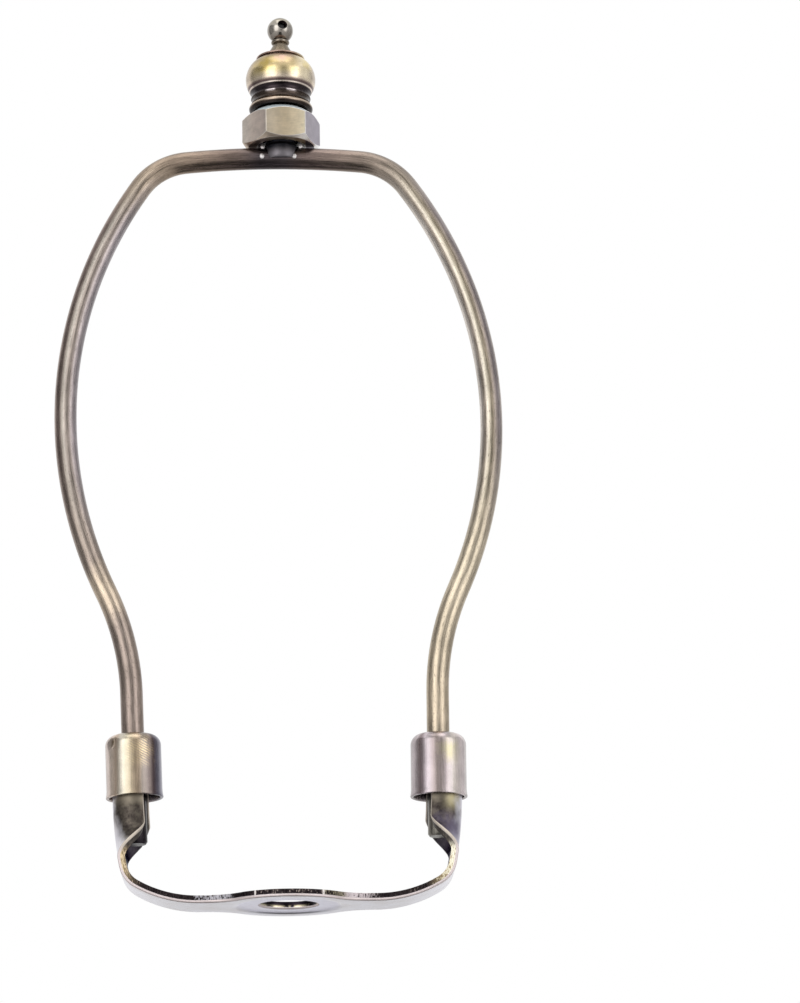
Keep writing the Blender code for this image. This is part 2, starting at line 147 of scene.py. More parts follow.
class Sheet:
    """The saddle's points as they are laid out, each with its finish and its way out of an edge."""

    def __init__(self):
        self.points, self.outward, self.finish, self.faces = [], [], [], []

    def add(self, point, finish="plated", outward=(0, 0, 0)):
        self.points.append(tuple(point))
        self.outward.append(tuple(outward))
        self.finish.append(finish)
        return len(self.points) - 1

    def edge(self, point, normal, outward):
        made = []
        for share, out, finish in sheared_profile():
            place = point + normal * (share - 0.5) * SHEET + outward * out
            made.append(self.add(place, finish, outward))
        return made

    def join(self, low, high, closed=False):
        pairs = list(zip(range(len(low)), range(1, len(low))))
        if closed:
            pairs.append((len(low) - 1, 0))
        for a, b in pairs:
            self.faces.append((low[a], low[b], high[b], high[a]))


def add_arm(sheet, side):
    """Closed loops of points along one arm, capped at the ear's top."""
    middle, normal, over = arm_surface(arm_stations(), side)
    flip = np.array((side, 1, 1))
    loops = []
    for mid, up, across in zip(middle * flip, normal * flip, over * flip):
        low = [sheet.add(p - n * SHEET / 2) for p, n in zip(mid[1:-1], up[1:-1])]
        high = [sheet.add(p + n * SHEET / 2, "inner") for p, n in zip(mid[1:-1], up[1:-1])]
        back = sheet.edge(mid[-1], up[-1], across[-1])
        front = sheet.edge(mid[0], up[0], -across[0])
        loops.append(low + back + high[::-1] + front[::-1])
    for low, high in zip(loops, loops[1:]):
        sheet.join(low, high, closed=True)
    count = len(arm_shares())
    top = loops[-1]
    edge = len(sheared_profile())
    low, high = top[:count], top[count + edge:count * 2 + edge][::-1]
    sheet.join(low, high)
    for cut, start, end in ((top[count:count + edge], low[-1], high[-1]),
                            (top[:count * 2 + edge - 1:-1], low[0], high[0])):
        sheet.faces.append((start, *cut, end))


def ring_outline(flat_end):
    """A quarter of the flat middle's outline as (point, outward normal), from the arm round."""
    neck = Vector((0, ARM_WIDTH / 2 + NECK_RADIUS))
    neck.x = sqrt((RING_RADIUS + NECK_RADIUS) ** 2 - neck.y ** 2)
    meet = atan2(neck.y, neck.x)
    fillet = arc(neck, NECK_RADIUS, -pi / 2, meet - pi, 18)
    ring = arc((0, 0), RING_RADIUS, meet, pi / 2, 24)
    outline = [(Vector((flat_end, ARM_WIDTH / 2)), Vector((0, 1)))]
    outline += [(Vector(p), (neck - Vector(p)).normalized()) for p in fillet]
    outline += [(Vector(p), Vector(p).normalized()) for p in ring[1:]]
    return outline


def seat_height(radius):
    return SEAT_RISE * (1 - float(soft_step(radius, *SEAT_STEP)))


def add_ring(sheet):
    """The flat middle as rays from the pipe hole to its outline or to the start of an arm."""
    flat_end = arm_stations()[0][0]
    quarter = ring_outline(flat_end)
    half = quarter + [(Vector((-p.x, p.y)), Vector((-n.x, n.y))) for p, n in quarter[-2::-1]]
    reach = ARM_WIDTH / 2 - EDGE_INSET
    across = [Vector((0, -reach + share * 2 * reach)) for share in arm_shares()[1:-1]]
    rays = [(p - n * EDGE_INSET, p, n) for p, n in half]
    rays += [(Vector((-flat_end, -p.y)), None, None) for p in across]
    rays += [(-(p - n * EDGE_INSET), -p, -n) for p, n in half]
    rays += [(Vector((flat_end, p.y)), None, None) for p in across]

    bore = [(HOLE_RADIUS + LIP * (1 - sin(a)), LIP * (1 - cos(a)), "lip")
            for a in np.linspace(0, pi / 2, 6)]
    bore += [(HOLE_RADIUS + torn, SHEET * share, "bore") for share, torn in BORE_WALL]
    radii = [HOLE_RADIUS + EDGE_INSET, *SEAT_ROWS, *np.linspace(*SEAT_STEP, 7),
             SEAT_STEP[1] + SEAT_MARGIN]
    sections = []
    for inner, edge, normal in rays:
        reach = inner.length
        turn = inner / reach
        spots = radii + [radii[-1] + (reach - radii[-1]) * share for share in (0.3, 0.6, 0.85, 1)]
        low = [sheet.add((*(turn * r), seat_height(r))) for r in spots]
        wall = [sheet.add((*(turn * r), z + SEAT_RISE), finish) for r, z, finish in bore]
        high = [sheet.add((*(turn * r), seat_height(r) + SHEET)) for r in spots]
        rim = None
        if edge is not None:
            flat = Vector((*edge, SHEET / 2))
            rim = sheet.edge(np.array(flat), np.array((0, 0, 1)), np.array((*normal, 0)))
        sections.append((low[::-1] + wall + high, rim, low[-1], high[-1]))
    for first, second in zip(sections, sections[1:] + sections[:1]):
        sheet.join(first[0], second[0])
        if first[1] and second[1]:
            sheet.join([first[3], *first[1][::-1], first[2]],
                       [second[3], *second[1][::-1], second[2]])


def new_object(name, data):
    made = bpy.data.objects.new(name, data)
    bpy.context.scene.collection.objects.link(made)
    return made


def mesh_piece(name, points, faces, material, attributes=None, sharp=radians(40)):
    """A smooth piece from points and faces, with its doubles merged and its faces outward."""
    mesh = bpy.data.meshes.new(name)
    mesh.from_pydata([tuple(p) for p in points], [], faces)
    for key, values in (attributes or {}).items():
        mesh.attributes.new(key, "FLOAT", "POINT").data.foreach_set("value", values)
    shape = bmesh.new()
    shape.from_mesh(mesh)
    bmesh.ops.remove_doubles(shape, verts=shape.verts, dist=0.000002)
    bmesh.ops.recalc_face_normals(shape, faces=shape.faces)
    shape.to_mesh(mesh)
    shape.free()
    mesh.shade_smooth()
    mesh.set_sharp_from_angle(angle=sharp)
    mesh.materials.append(material)
    return new_object(name, mesh)


def tint(red, green, blue, cover=1.0):
    """A colour as it is seen, 0 to 255, as the linear values that a shader takes."""
    seen = [channel / 255 for channel in (red, green, blue)]
    return (*[c / 12.92 if c <= 0.04045 else ((c + 0.055) / 1.055) ** 2.4 for c in seen], cover)


def new_node(tree, kind, settings=(), **inputs):
    """A node. An input is a value, or the socket of another node that it is linked to."""
    node = tree.nodes.new(kind)
    for key, value in dict(settings).items():
        setattr(node, key, value)
    for key, value in inputs.items():
        socket = node.inputs[int(key[1:]) if key[1:].isdigit() else key.replace("_", " ")]
        if isinstance(value, bpy.types.NodeSocket):
            tree.links.new(value, socket)
        else:
            socket.default_value = value
    return node


def add_node(material, kind, settings=(), **inputs):
    return new_node(material.node_tree, "ShaderNode" + kind, settings, **inputs)


def new_finish(name, roughness, metallic=1.0):
    material = bpy.data.materials.new(name)
    material.use_nodes = True
    shader = material.node_tree.nodes["Principled BSDF"]
    shader.inputs["Metallic"].default_value = metallic
    shader.inputs["Roughness"].default_value = roughness
    return material, shader


def own_place(material, stretch=(1, 1, 1), turn=(0, 0, 0)):
    """Object coordinates, stretched and turned for a pattern."""
    place = add_node(material, "TexCoord").outputs["Object"]
    return add_node(material, "Mapping", Vector=place, Scale=stretch, Rotation=turn).outputs[0]


def own_axes(material):
    """Object coordinates as three values."""
    return add_node(material, "SeparateXYZ", Vector=own_place(material)).outputs


def attribute(material, name, kind="Fac"):
    return add_node(material, "Attribute", {"attribute_name": name}).outputs[kind]


def calculate(material, operation, first, second=0.0):
    return add_node(material, "Math", {"operation": operation}, _0=first, _1=second).outputs[0]


def multiply(material, first, second):
    return calculate(material, "MULTIPLY", first, second)


def add(material, first, second):
    return calculate(material, "ADD", first, second)


def share_between(material, value, low, high, start=0.0, end=1.0):
    """The share of the way that a value lies from low to high, as start to end."""
    return add_node(material, "MapRange", Value=value, From_Min=low, From_Max=high, To_Min=start,
                    To_Max=end).outputs[0]


def smooth_share(material, value, start, end):
    """The share of the way from start to end, eased at both."""
    return add_node(material, "MapRange", {"interpolation_type": "SMOOTHSTEP"}, Value=value,
                    From_Min=start, From_Max=end).outputs[0]


def between(material, share, first, second):
    """A number that lies this share of the way from one to another."""
    return add_node(material, "Mix", _0=share, _2=first, _3=second).outputs[0]


def blend(material, share, first, second):
    """A colour that lies this share of the way from one to another."""
    mixed = add_node(material, "Mix", {"data_type": "RGBA"}, _0=share, _6=first, _7=second)
    return mixed.outputs[2]


def shaded(material, tone, shade):
    """A colour made darker or lighter by a factor."""
    return add_node(material, "VectorMath", {"operation": "SCALE"}, _0=tone, Scale=shade).outputs[0]


def ramp(material, value, stops):
    """Colours along a value, given as (value, colour), with their cover as a second result."""
    low, high = stops[0][0], stops[-1][0]
    node = add_node(material, "ValToRGB", Fac=share_between(material, value, low, high))
    elements = node.color_ramp.elements
    while len(elements) < len(stops):
        elements.new(1.0)
    for element, (place, colour) in zip(elements, stops):
        element.position = (place - low) / (high - low)
        element.color = tint(*colour)
    return node.outputs


def speckle(material, place, size, detail=3.0, roughness=0.55):
    """Noise from 0 to 1, with features of about this size in metres."""
    return add_node(material, "TexNoise", Vector=place, Scale=1 / size, Detail=detail,
                    Roughness=roughness).outputs["Fac"]


def clouding(material, place, size, low, high, detail=3.0, roughness=0.55):
    """Speckle as a factor between a darkest and a lightest value."""
    clouds = speckle(material, place, size, detail, roughness)
    return share_between(material, clouds, 0.36, 0.66, low, high)


def patch(material, centre, size, ragged=0.5):
    """How deep a point lies in a ragged patch: 1 in its middle, 0 past this distance from it."""
    place = own_place(material)
    far = add_node(material, "VectorMath", {"operation": "DISTANCE"}, _0=place, _1=centre)
    wave = share_between(material, speckle(material, place, size * 0.35), 0.3, 0.7,
                         -size * ragged / 2, size * ragged / 2)
    return smooth_share(material, add(material, far.outputs["Value"], wave), size, 0.0)


def bump(material, height, distance, strength=1.0):
    return add_node(material, "Bump", Height=height, Distance=distance, Strength=strength).outputs[0]


def dress(material, shader, **inputs):
    for key, value in inputs.items():
        material.node_tree.links.new(value, shader.inputs[key.replace("_", " ")])


# Tones of the cut edge along X, with their cover by torn grit: the edge's own burnish and grit, and
# also painted highlight, palest at the knees of the arms.
EDGE_TONES = (
    (-0.0320, (244, 230, 200, 0.22)), (-0.0310, (240, 222, 188, 0.28)),
    (-0.0300, (222, 202, 168, 0.46)), (-0.0285, (188, 168, 144, 0.72)),
    (-0.0265, (150, 132, 116, 0.87)), (-0.0216, (140, 130, 126, 0.92)),
    (-0.0180, (140, 134, 134, 0.90)), (-0.0166, (164, 162, 168, 0.50)),
    (-0.0108, (174, 172, 178, 0.44)), (-0.0096, (150, 148, 150, 0.80)),
    (-0.0089, (60, 56, 60, 1.0)), (-0.0062, (60, 56, 60, 1.0)), (-0.0060, (240, 234, 230, 0.0)),
    (-0.0058, (170, 156, 148, 0.74)), (0.0061, (170, 156, 148, 0.74)),
    (0.0063, (248, 244, 240, 0.0)), (0.0066, (136, 128, 108, 0.55)),
    (0.0097, (150, 142, 124, 0.45)), (0.0108, (192, 182, 184, 0.24)),
    (0.0142, (188, 178, 180, 0.36)), (0.0172, (140, 130, 130, 0.84)),
    (0.0250, (140, 130, 118, 0.88)), (0.0278, (210, 200, 172, 0.55)),
    (0.0295, (242, 236, 214, 0.32)), (0.0320, (246, 240, 222, 0.26)))
AGED_EAR = {"place": (0.0264, -0.0054, 0.0168), "size": 0.0104}
PLUM_STAIN = {"place": (0.0300, -0.0040, 0.0120), "size": 0.0062}


def plate_tone(material, place, mottle):
    """Nickel that is whiter on the seat, as a painted reflection, and aged to olive and plum on the
    ears.
    """
    x, y, height = own_axes(material)
    clouds = share_between(material, speckle(material, place, 0.006), 0.35, 0.68)
    tone = blend(material, clouds, tint(226, 225, 234), tint(212, 207, 210))
    flat_way = add_node(material, "CombineXYZ", X=x, Y=y).outputs[0]
    # Painted reflection: the seat inside the step is tinted paler lavender.
    radius = add_node(material, "VectorMath", {"operation": "LENGTH"}, _0=flat_way)
    seat = smooth_share(material, radius.outputs["Value"], 0.0100, 0.0086)
    tone = blend(material, multiply(material, seat, 0.6), tone, tint(216, 214, 236))

    olive = blend(material, mottle, tint(56, 50, 48), tint(100, 93, 84))
    worn = multiply(material, smooth_share(material, height, 0.0178, 0.0202), 0.6)
    olive = blend(material, worn, olive, tint(162, 152, 134))
    gold = multiply(material, smooth_share(material, x, 0.0278, 0.0310),
                    smooth_share(material, height, 0.0160, 0.0190))
    olive = blend(material, multiply(material, gold, 0.85), olive, tint(194, 184, 146))
    for side in (-1, 1):
        centre = (side * AGED_EAR["place"][0], *AGED_EAR["place"][1:])
        aged = patch(material, centre, AGED_EAR["size"], 0.25)
        tone = blend(material, smooth_share(material, aged, 0.10, 0.55), tone, olive)
    plum = patch(material, PLUM_STAIN["place"], PLUM_STAIN["size"], 0.3)
    return blend(material, multiply(material, plum, 0.85), tone, tint(112, 104, 130))


def torn_tone(material, grit, upper):
    """The cut edge: burnished metal that torn grit covers, more in some stretches than others, with a
    painted highlight at the knees.
    """
    axes = own_axes(material)
    burnished, cover = ramp(material, axes["X"], EDGE_TONES)
    reach = share_between(material, cover, 0, 1, -0.20, -0.80)
    dark = share_between(material, add(material, grit, reach), 0.05, -0.05)
    specks = share_between(material, grit, 0.3, 0.7)
    deep = blend(material, specks, tint(14, 10, 14), tint(60, 53, 54))
    # Painted highlight: the torn grit is lightened at the knees.
    knee_highlight = multiply(material, smooth_share(material, cover, 0.9, 0.3),
                    smooth_share(material, axes["Z"], 0.0010, 0.0025))
    deep = blend(material, knee_highlight, deep, tint(176, 156, 122))
    edge = blend(material, dark, burnished, deep)
    return blend(material, upper, edge, blend(material, grit, tint(30, 26, 28), tint(108, 102, 96)))


def bore_tone(material, place, height):
    """The wall of the pipe hole, stained dark along its foot."""
    stains = share_between(material, speckle(material, place, 0.0016, 2), 0.42, 0.56)
    low_wall = smooth_share(material, height, 0.0012, 0.0006)
    dark = multiply(material, stains, low_wall)
    return blend(material, dark, tint(34, 28, 34), tint(226, 214, 184))


def saddle_metal():
    """Nickel plate with painted shade inside the bends, torn on its edges and burnished along their
    lips.
    """
    material, shader = new_finish("saddle_nickel", 0.25)
    place = own_place(material)
    height = own_axes(material)["Z"]
    mottle = share_between(material, speckle(material, place, 0.0011, 6, 0.7), 0.36, 0.66)
    tone = plate_tone(material, place, mottle)
    # Painted shade: the inner faces darken inside the bends as they rise.
    inside = multiply(material, attribute(material, "inner"),
                      smooth_share(material, height, 0.0020, 0.0060))
    tone = blend(material, multiply(material, inside, 0.92), tone,
                 blend(material, mottle, tint(40, 34, 44), tint(72, 64, 72)))

    grit = speckle(material, own_place(material, (1, 1, 0.35)), 0.00024, 2)
    upper = smooth_share(material, height, 0.0092, 0.0112)
    torn, lip = attribute(material, "torn"), attribute(material, "lip")
    tone = blend(material, torn, tone, torn_tone(material, grit, upper))
    tone = blend(material, lip, tone,
                 blend(material, upper, tint(222, 211, 210), tint(206, 196, 184)))
    tone = blend(material, attribute(material, "bore"), tone, bore_tone(material, place, height))

    aged = smooth_share(material, height, 0.009, 0.013)
    rough = between(material, torn, between(material, aged, 0.26, 0.46), 0.5)
    rough = between(material, lip, rough, 0.6)
    # Painted shade in the reflections: the specular tint goes dark inside the bends.
    inside_reflection_shade = blend(material, inside, tint(255, 255, 255), tint(96, 92, 112))
    dress(material, shader, Base_Color=tone, Roughness=rough, Specular_Tint=inside_reflection_shade,
          Normal=bump(material, multiply(material, grit, torn), 0.00010, 0.8))
    return material


def build_saddle():
    sheet = Sheet()
    add_ring(sheet)
    for side in (1, -1):
        add_arm(sheet, side)
    points = np.array(sheet.points)
    finishes = {kind: np.array([float(finish == kind) for finish in sheet.finish])
                for kind in ("torn", "lip", "inner", "bore")}
    rough = np.array([noise.noise(Vector(p) / 0.00045) + 0.5 * noise.noise(Vector(p) / 0.0002)
                      for p in points])
    points += np.array(sheet.outward) * (rough * finishes["torn"] * TEAR_DEPTH)[:, None]
    return mesh_piece("saddle_sheet", points, sheet.faces, saddle_metal(), finishes)


saddle = build_saddle()
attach(saddle, "saddle")
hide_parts("saddle")

# LOOP
# One steel wire, plated and antiqued to bronze, bent cold round formers to a tall arch. Fine
# scratches follow it, as on any drawn wire. Its tones are wear and also painted reflections round
# the flanks, a painted highlight at one bend and painted shade under the nut. Its ends are cropped.
LEG_SPACING = 0.0568
LOOP_WIDTH = 0.0808
WIDEST_HEIGHT = 0.0933
LEG_BEND_RADIUS = 0.0494
FLANK_RADIUS = 0.0810
CORNER_RADIUS = 0.0122
CROWN_RADIUS = 0.1800
CROWN_HEIGHT = wire_high.z - WIRE_RADIUS
LEFT_LEG_END = wire_low.z
RIGHT_LEG_END = LEFT_LEG_END + 0.0008
LEG_TAPER = radians(1.2)
LOOP_LEAN = 0.0016
CROPPED_END = 0.0004
BURR = 0.86
WIRE_SIDES = 40
# Tones along the wire. The dark stretch in the middle of the crown, under the nut and stud, is
# painted shade: the nut's shadow and the dark it reflects.
WIRE_TONES = (
    (0.0, (50, 46, 50)), (0.03, (54, 49, 53)), (0.06, (146, 132, 124)), (0.20, (148, 136, 126)),
    (0.33, (152, 140, 130)), (0.41, (172, 156, 136)), (0.455, (150, 132, 118)),
    (0.482, (112, 98, 92)), (0.492, (90, 82, 84)), (0.508, (90, 82, 84)),
    (0.518, (112, 98, 94)), (0.545, (146, 130, 120)), (0.60, (164, 154, 140)),
    (0.70, (168, 156, 138)), (0.84, (188, 176, 156)), (0.93, (180, 166, 146)),
    (0.97, (84, 80, 78)), (1.0, (132, 128, 120)))
# Tones round the flanks, by degrees from the front toward the outside: painted reflections of the
# surroundings, and wear.
FLANK_TONES = {
    "left": ((-180, (150, 142, 139)), (-54, (157, 150, 153)), (-42, (174, 163, 165)),
             (-31, (160, 151, 149)), (-22, (132, 122, 118)), (-13, (142, 131, 124)),
             (-4, (189, 176, 166)), (5, (168, 159, 151)), (14, (135, 129, 121)),
             (34, (120, 107, 101)), (47, (133, 117, 111)), (64, (163, 148, 140)),
             (180, (150, 142, 139))),
    "right": ((-180, (170, 162, 152)), (-54, (211, 203, 195)), (-42, (175, 163, 152)),
              (-31, (159, 148, 135)), (-22, (189, 181, 168)), (-13, (180, 172, 156)),
              (5, (166, 153, 133)), (14, (145, 134, 123)), (24, (123, 114, 109)),
              (34, (128, 119, 118)), (47, (151, 143, 144)), (64, (179, 170, 163)),
              (180, (170, 162, 152)))}
FLANK_REACH = {"left": (0.16, 0.25, 0.38, 0.44), "right": (0.84, 0.74, 0.62, 0.56)}
# A painted highlight on the left bend.
HIGHLIGHT_BEND = {"place": (-0.0340, -0.0019, 0.0590), "size": 0.0075}


def leg_bend():
    """Centre of the bend above a leg, which runs into the flank's circle."""
    x = LEG_SPACING / 2 + LEG_BEND_RADIUS
    reach = LEG_BEND_RADIUS + FLANK_RADIUS
    rise = sqrt(reach ** 2 - (x - LOOP_WIDTH / 2 + FLANK_RADIUS) ** 2)
    return Vector((x, WIDEST_HEIGHT - rise))


def leg_x(height):
    bend = leg_bend()
    start = bend + LEG_BEND_RADIUS * Vector((-cos(LEG_TAPER), sin(LEG_TAPER)))
    return start.x - (start.y - height) * tan(LEG_TAPER)


def settled(height):
    return LOOP_LEAN * (height - LEFT_LEG_END) / (CROWN_HEIGHT - LEFT_LEG_END)


def loop_half(leg_end):
    """Centre line of half the loop, from the end of its leg to the middle of the crown."""
    flank = Vector((LOOP_WIDTH / 2 - FLANK_RADIUS, WIDEST_HEIGHT))
    bend = leg_bend()
    lean = asin((flank.y - bend.y) / (LEG_BEND_RADIUS + FLANK_RADIUS))
    crown = Vector((0, CROWN_HEIGHT - CROWN_RADIUS))
    from_flank, from_crown = FLANK_RADIUS - CORNER_RADIUS, CROWN_RADIUS - CORNER_RADIUS
    apart = (flank - crown).length
    opening = acos((apart ** 2 + from_crown ** 2 - from_flank ** 2) / (2 * apart * from_crown))
    brow = atan2(flank.y - crown.y, flank.x - crown.x) - opening
    corner = crown + from_crown * Vector((cos(brow), sin(brow)))
    shoulder = atan2(corner.y - flank.y, corner.x - flank.x)
    bend_start = bend.y + LEG_BEND_RADIUS * sin(LEG_TAPER)
    leg = [(leg_x(z), z) for z in np.linspace(leg_end + CROPPED_END, bend_start, 16)[:-1]]
    return [(leg_x(leg_end), leg_end), *leg,
            *arc(bend, LEG_BEND_RADIUS, pi - LEG_TAPER, pi - lean, 26),
            *arc(flank, FLANK_RADIUS, -lean, shoulder, 60)[1:],
            *arc(corner, CORNER_RADIUS, shoulder, brow, 24)[1:],
            *arc(crown, CROWN_RADIUS, brow, pi / 2, 24)[1:]]


def new_nodes(name, inputs):
    """An empty geometry tree with named inputs, its input and its output."""
    tree = bpy.data.node_groups.new(name, "GeometryNodeTree")
    tree.interface.new_socket("Geometry", in_out="INPUT", socket_type="NodeSocketGeometry")
    for key, kind in inputs.items():
        tree.interface.new_socket(key, in_out="INPUT", socket_type="NodeSocket" + kind)
    tree.interface.new_socket("Geometry", in_out="OUTPUT", socket_type="NodeSocketGeometry")
    return tree, tree.nodes.new("NodeGroupInput"), tree.nodes.new("NodeGroupOutput")


def finish_nodes(tree, entry, exit_node, mesh):
    """Smooth shading, then real geometry in the piece's own material."""
    smooth = new_node(tree, "GeometryNodeSetShadeSmooth", _0=mesh)
    real = new_node(tree, "GeometryNodeRealizeInstances", _0=smooth.outputs[0])
    dressed = new_node(tree, "GeometryNodeSetMaterial", _0=real.outputs[0],
                       Material=entry.outputs["Material"])
    tree.links.new(dressed.outputs[0], exit_node.inputs[0])


def sweep_nodes():
    """A round section swept along a line, which keeps its distance along and its place round."""
    tree, entry, exit_node = new_nodes("swept_wire", {"Radius": "Float", "Sides": "Int",
                                                      "Material": "Material"})
    line = new_node(tree, "GeometryNodeMeshToCurve", Mesh=entry.outputs["Geometry"])
    length = tree.nodes.new("GeometryNodeSplineParameter").outputs["Length"]
    marked = new_node(tree, "GeometryNodeStoreNamedAttribute", {"data_type": "FLOAT"},
                      Geometry=line.outputs[0], Name="along", Value=length)
    ring = new_node(tree, "GeometryNodeCurvePrimitiveCircle", Resolution=entry.outputs["Sides"],
                    Radius=entry.outputs["Radius"])
    spot = tree.nodes.new("GeometryNodeInputPosition").outputs[0]
    round_it = new_node(tree, "GeometryNodeStoreNamedAttribute", {"data_type": "FLOAT_VECTOR"},
                        Geometry=ring.outputs[0], Name="round", Value=spot)
    girth = new_node(tree, "GeometryNodeInputNamedAttribute", {"data_type": "FLOAT"}, Name="girth")
    swept = new_node(tree, "GeometryNodeCurveToMesh", Curve=marked.outputs[0],
                     Profile_Curve=round_it.outputs[0], Scale=girth.outputs[0], Fill_Caps=True)
    finish_nodes(tree, entry, exit_node, swept.outputs[0])
    return tree


def finished_mesh(piece):
    """A piece's mesh with its modifiers applied and then taken off."""
    made = piece.evaluated_get(bpy.context.evaluated_depsgraph_get())
    mesh = bpy.data.meshes.new_from_object(made)
    piece.modifiers.clear()
    return mesh


def grown(name, host, tree, values, sharp=radians(40)):
    """The mesh that a geometry tree makes on a host, as a plain piece."""
    modifier = host.modifiers.new("Grow", "NODES")
    modifier.node_group = tree
    for socket in tree.interface.items_tree:
        if socket.in_out == "INPUT" and socket.name in values:
            modifier[socket.identifier] = values[socket.name]
    mesh = finished_mesh(host)
    mesh.name = name
    mesh.set_sharp_from_angle(angle=sharp)
    bpy.data.objects.remove(host)
    return new_object(name, mesh)


def line_host(points, girths):
    """A bare line of points for a sweep to follow, with how thick it is at each."""
    mesh = bpy.data.meshes.new("line")
    mesh.from_pydata(points, [(i, i + 1) for i in range(len(points) - 1)], [])
    mesh.attributes.new("girth", "FLOAT", "POINT").data.foreach_set("value", girths)
    return new_object("line", mesh)


def along_wire(material, across, along):
    """Coordinates that follow the wire, stretched round it and along it."""
    parts = add_node(material, "SeparateXYZ", Vector=attribute(material, "round", "Vector")).outputs
    run = multiply(material, attribute(material, "along"), along)
    return add_node(material, "CombineXYZ", X=multiply(material, parts["X"], across),
                    Y=multiply(material, parts["Y"], across), Z=run).outputs[0]


def degrees_round(material, sideways, front):
    """The way round that a point lies, from straight in front toward the side."""
    return multiply(material, calculate(material, "ARCTAN2", sideways, front), 180 / pi)


def turn_outward(material):
    """Degrees round the wire, from straight in front toward the outside of the loop."""
    parts = add_node(material, "SeparateXYZ", Vector=attribute(material, "round", "Vector")).outputs
    return degrees_round(material, parts["Y"], multiply(material, parts["X"], -1.0))


def wire_metal(length):
    """Antique bronze over steel in tones along and round the wire, with painted reflections and
    shade, and a painted highlight at one bend.
    """
    material, shader = new_finish("wire_bronze", 0.3)
    share = multiply(material, attribute(material, "along"), 1 / length)
    tone = ramp(material, share, WIRE_TONES)["Color"]
    turn = turn_outward(material)
    for side, (foot, low, high, top) in FLANK_REACH.items():
        reach = multiply(material, smooth_share(material, share, foot, low),
                         smooth_share(material, share, top, high))
        tone = blend(material, reach, tone, ramp(material, turn, FLANK_TONES[side])["Color"])
    # Painted highlight on the left bend.
    painted_highlight = patch(material, HIGHLIGHT_BEND["place"], HIGHLIGHT_BEND["size"], 0.3)
    tone = blend(material, painted_highlight, tone, tint(196, 180, 160))

    lines = speckle(material, along_wire(material, 1.0, 0.06), 0.00022, 2)
    streaks = share_between(material, lines, 0.36, 0.66, 0.78, 1.18)
    clouds = clouding(material, along_wire(material, 0.6, 0.4), 0.003, 0.86, 1.14)
    tone = shaded(material, tone, multiply(material, streaks, clouds))
    specks = speckle(material, along_wire(material, 1.0, 0.5), 0.00030, 4, 0.7)
    specks = share_between(material, specks, 0.57, 0.70, 0, 0.6)
    tone = blend(material, specks, tone, tint(66, 56, 52))
    rough = share_between(material, lines, 0.3, 0.7, 0.24, 0.38)
    height = calculate(material, "SUBTRACT", lines, specks)
    dress(material, shader, Base_Color=tone, Roughness=rough,
          Normal=bump(material, height, 0.000025, 0.5))
    return material


def build_loop():
    left = [(-x, z) for x, z in loop_half(LEFT_LEG_END)]
    whole = left + loop_half(RIGHT_LEG_END)[-2::-1]
    points = [(x - settled(z), 0.0, z) for x, z in whole]
    girths = [BURR, *[1.0] * (len(points) - 2), BURR]
    length = sum(hypot(b[0] - a[0], b[2] - a[2]) for a, b in zip(points, points[1:]))
    values = {"Radius": WIRE_RADIUS, "Sides": WIRE_SIDES, "Material": wire_metal(length)}
    return grown("loop_wire", line_host(points, girths), sweep_nodes(), values)


loop = build_loop()
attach(loop, "loop")
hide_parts("harp_wire")

# SLEEVES
# Two cups drawn from thin brass, antiqued, with a hole in the top for the leg. They slide down
# over the ears and lock the loop to the saddle. The left one has a dent and file marks.
SLEEVE_WALL = 0.0006
SLEEVE_PLAY = 0.00055
SLEEVE_RADIUS = EAR_RADIUS + SHEET / 2 + SLEEVE_PLAY + SLEEVE_WALL
SLEEVE_HEIGHT = 0.0118
SHOULDER_RADIUS = 0.0020
WIRE_PLAY = 0.0003
SLEEVE_FOOT = {"left": 0.0203, "right": 0.0198}
FLARE = 0.00015
FLARE_HEIGHT = 0.0014
LIP_ROUND = 0.0002
# Tones round each cup by degrees from the front: part patina, part painted reflections.
SLEEVE_TONES = {
    "left": ((-180, (170, 158, 150)), (-90, (176, 164, 160)), (-62, (206, 192, 184)),
             (-49, (230, 212, 196)), (-39, (194, 174, 156)), (-29, (206, 199, 185)),
             (-16, (178, 170, 151)), (-4, (170, 156, 134)), (8, (192, 171, 148)),
             (18, (134, 125, 118)), (30, (128, 118, 114)), (37, (150, 136, 132)), (44, (92, 79, 82)),
             (56, (96, 92, 104)), (75, (136, 134, 146)), (120, (150, 146, 150)),
             (180, (170, 158, 150))),
    "right": ((-180, (170, 162, 160)), (-90, (160, 154, 154)), (-62, (178, 168, 170)),
              (-53, (200, 188, 190)), (-43, (146, 132, 134)), (-38, (160, 145, 149)),
              (-31, (208, 196, 201)), (-22, (170, 160, 163)), (-13, (150, 138, 137)),
              (-4, (140, 128, 124)), (4, (188, 174, 172)), (12, (182, 170, 171)),
              (24, (167, 159, 158)), (33, (202, 193, 186)), (56, (220, 208, 208)),
              (72, (182, 176, 174)), (120, (170, 164, 164)), (180, (170, 162, 160)))}
DENT = {"side": "left", "turn": radians(220), "height": 0.0099, "size": 0.0010, "depth": 0.00045}
FILED = {"place": (-0.0266, -0.0055, 0.0288), "size": 0.0042, "spacing": 0.00042,
         "slant": radians(-28)}
GOLD_STRIPE = {"place": (0.0299, -0.0052, 0.0278), "size": 0.0032}


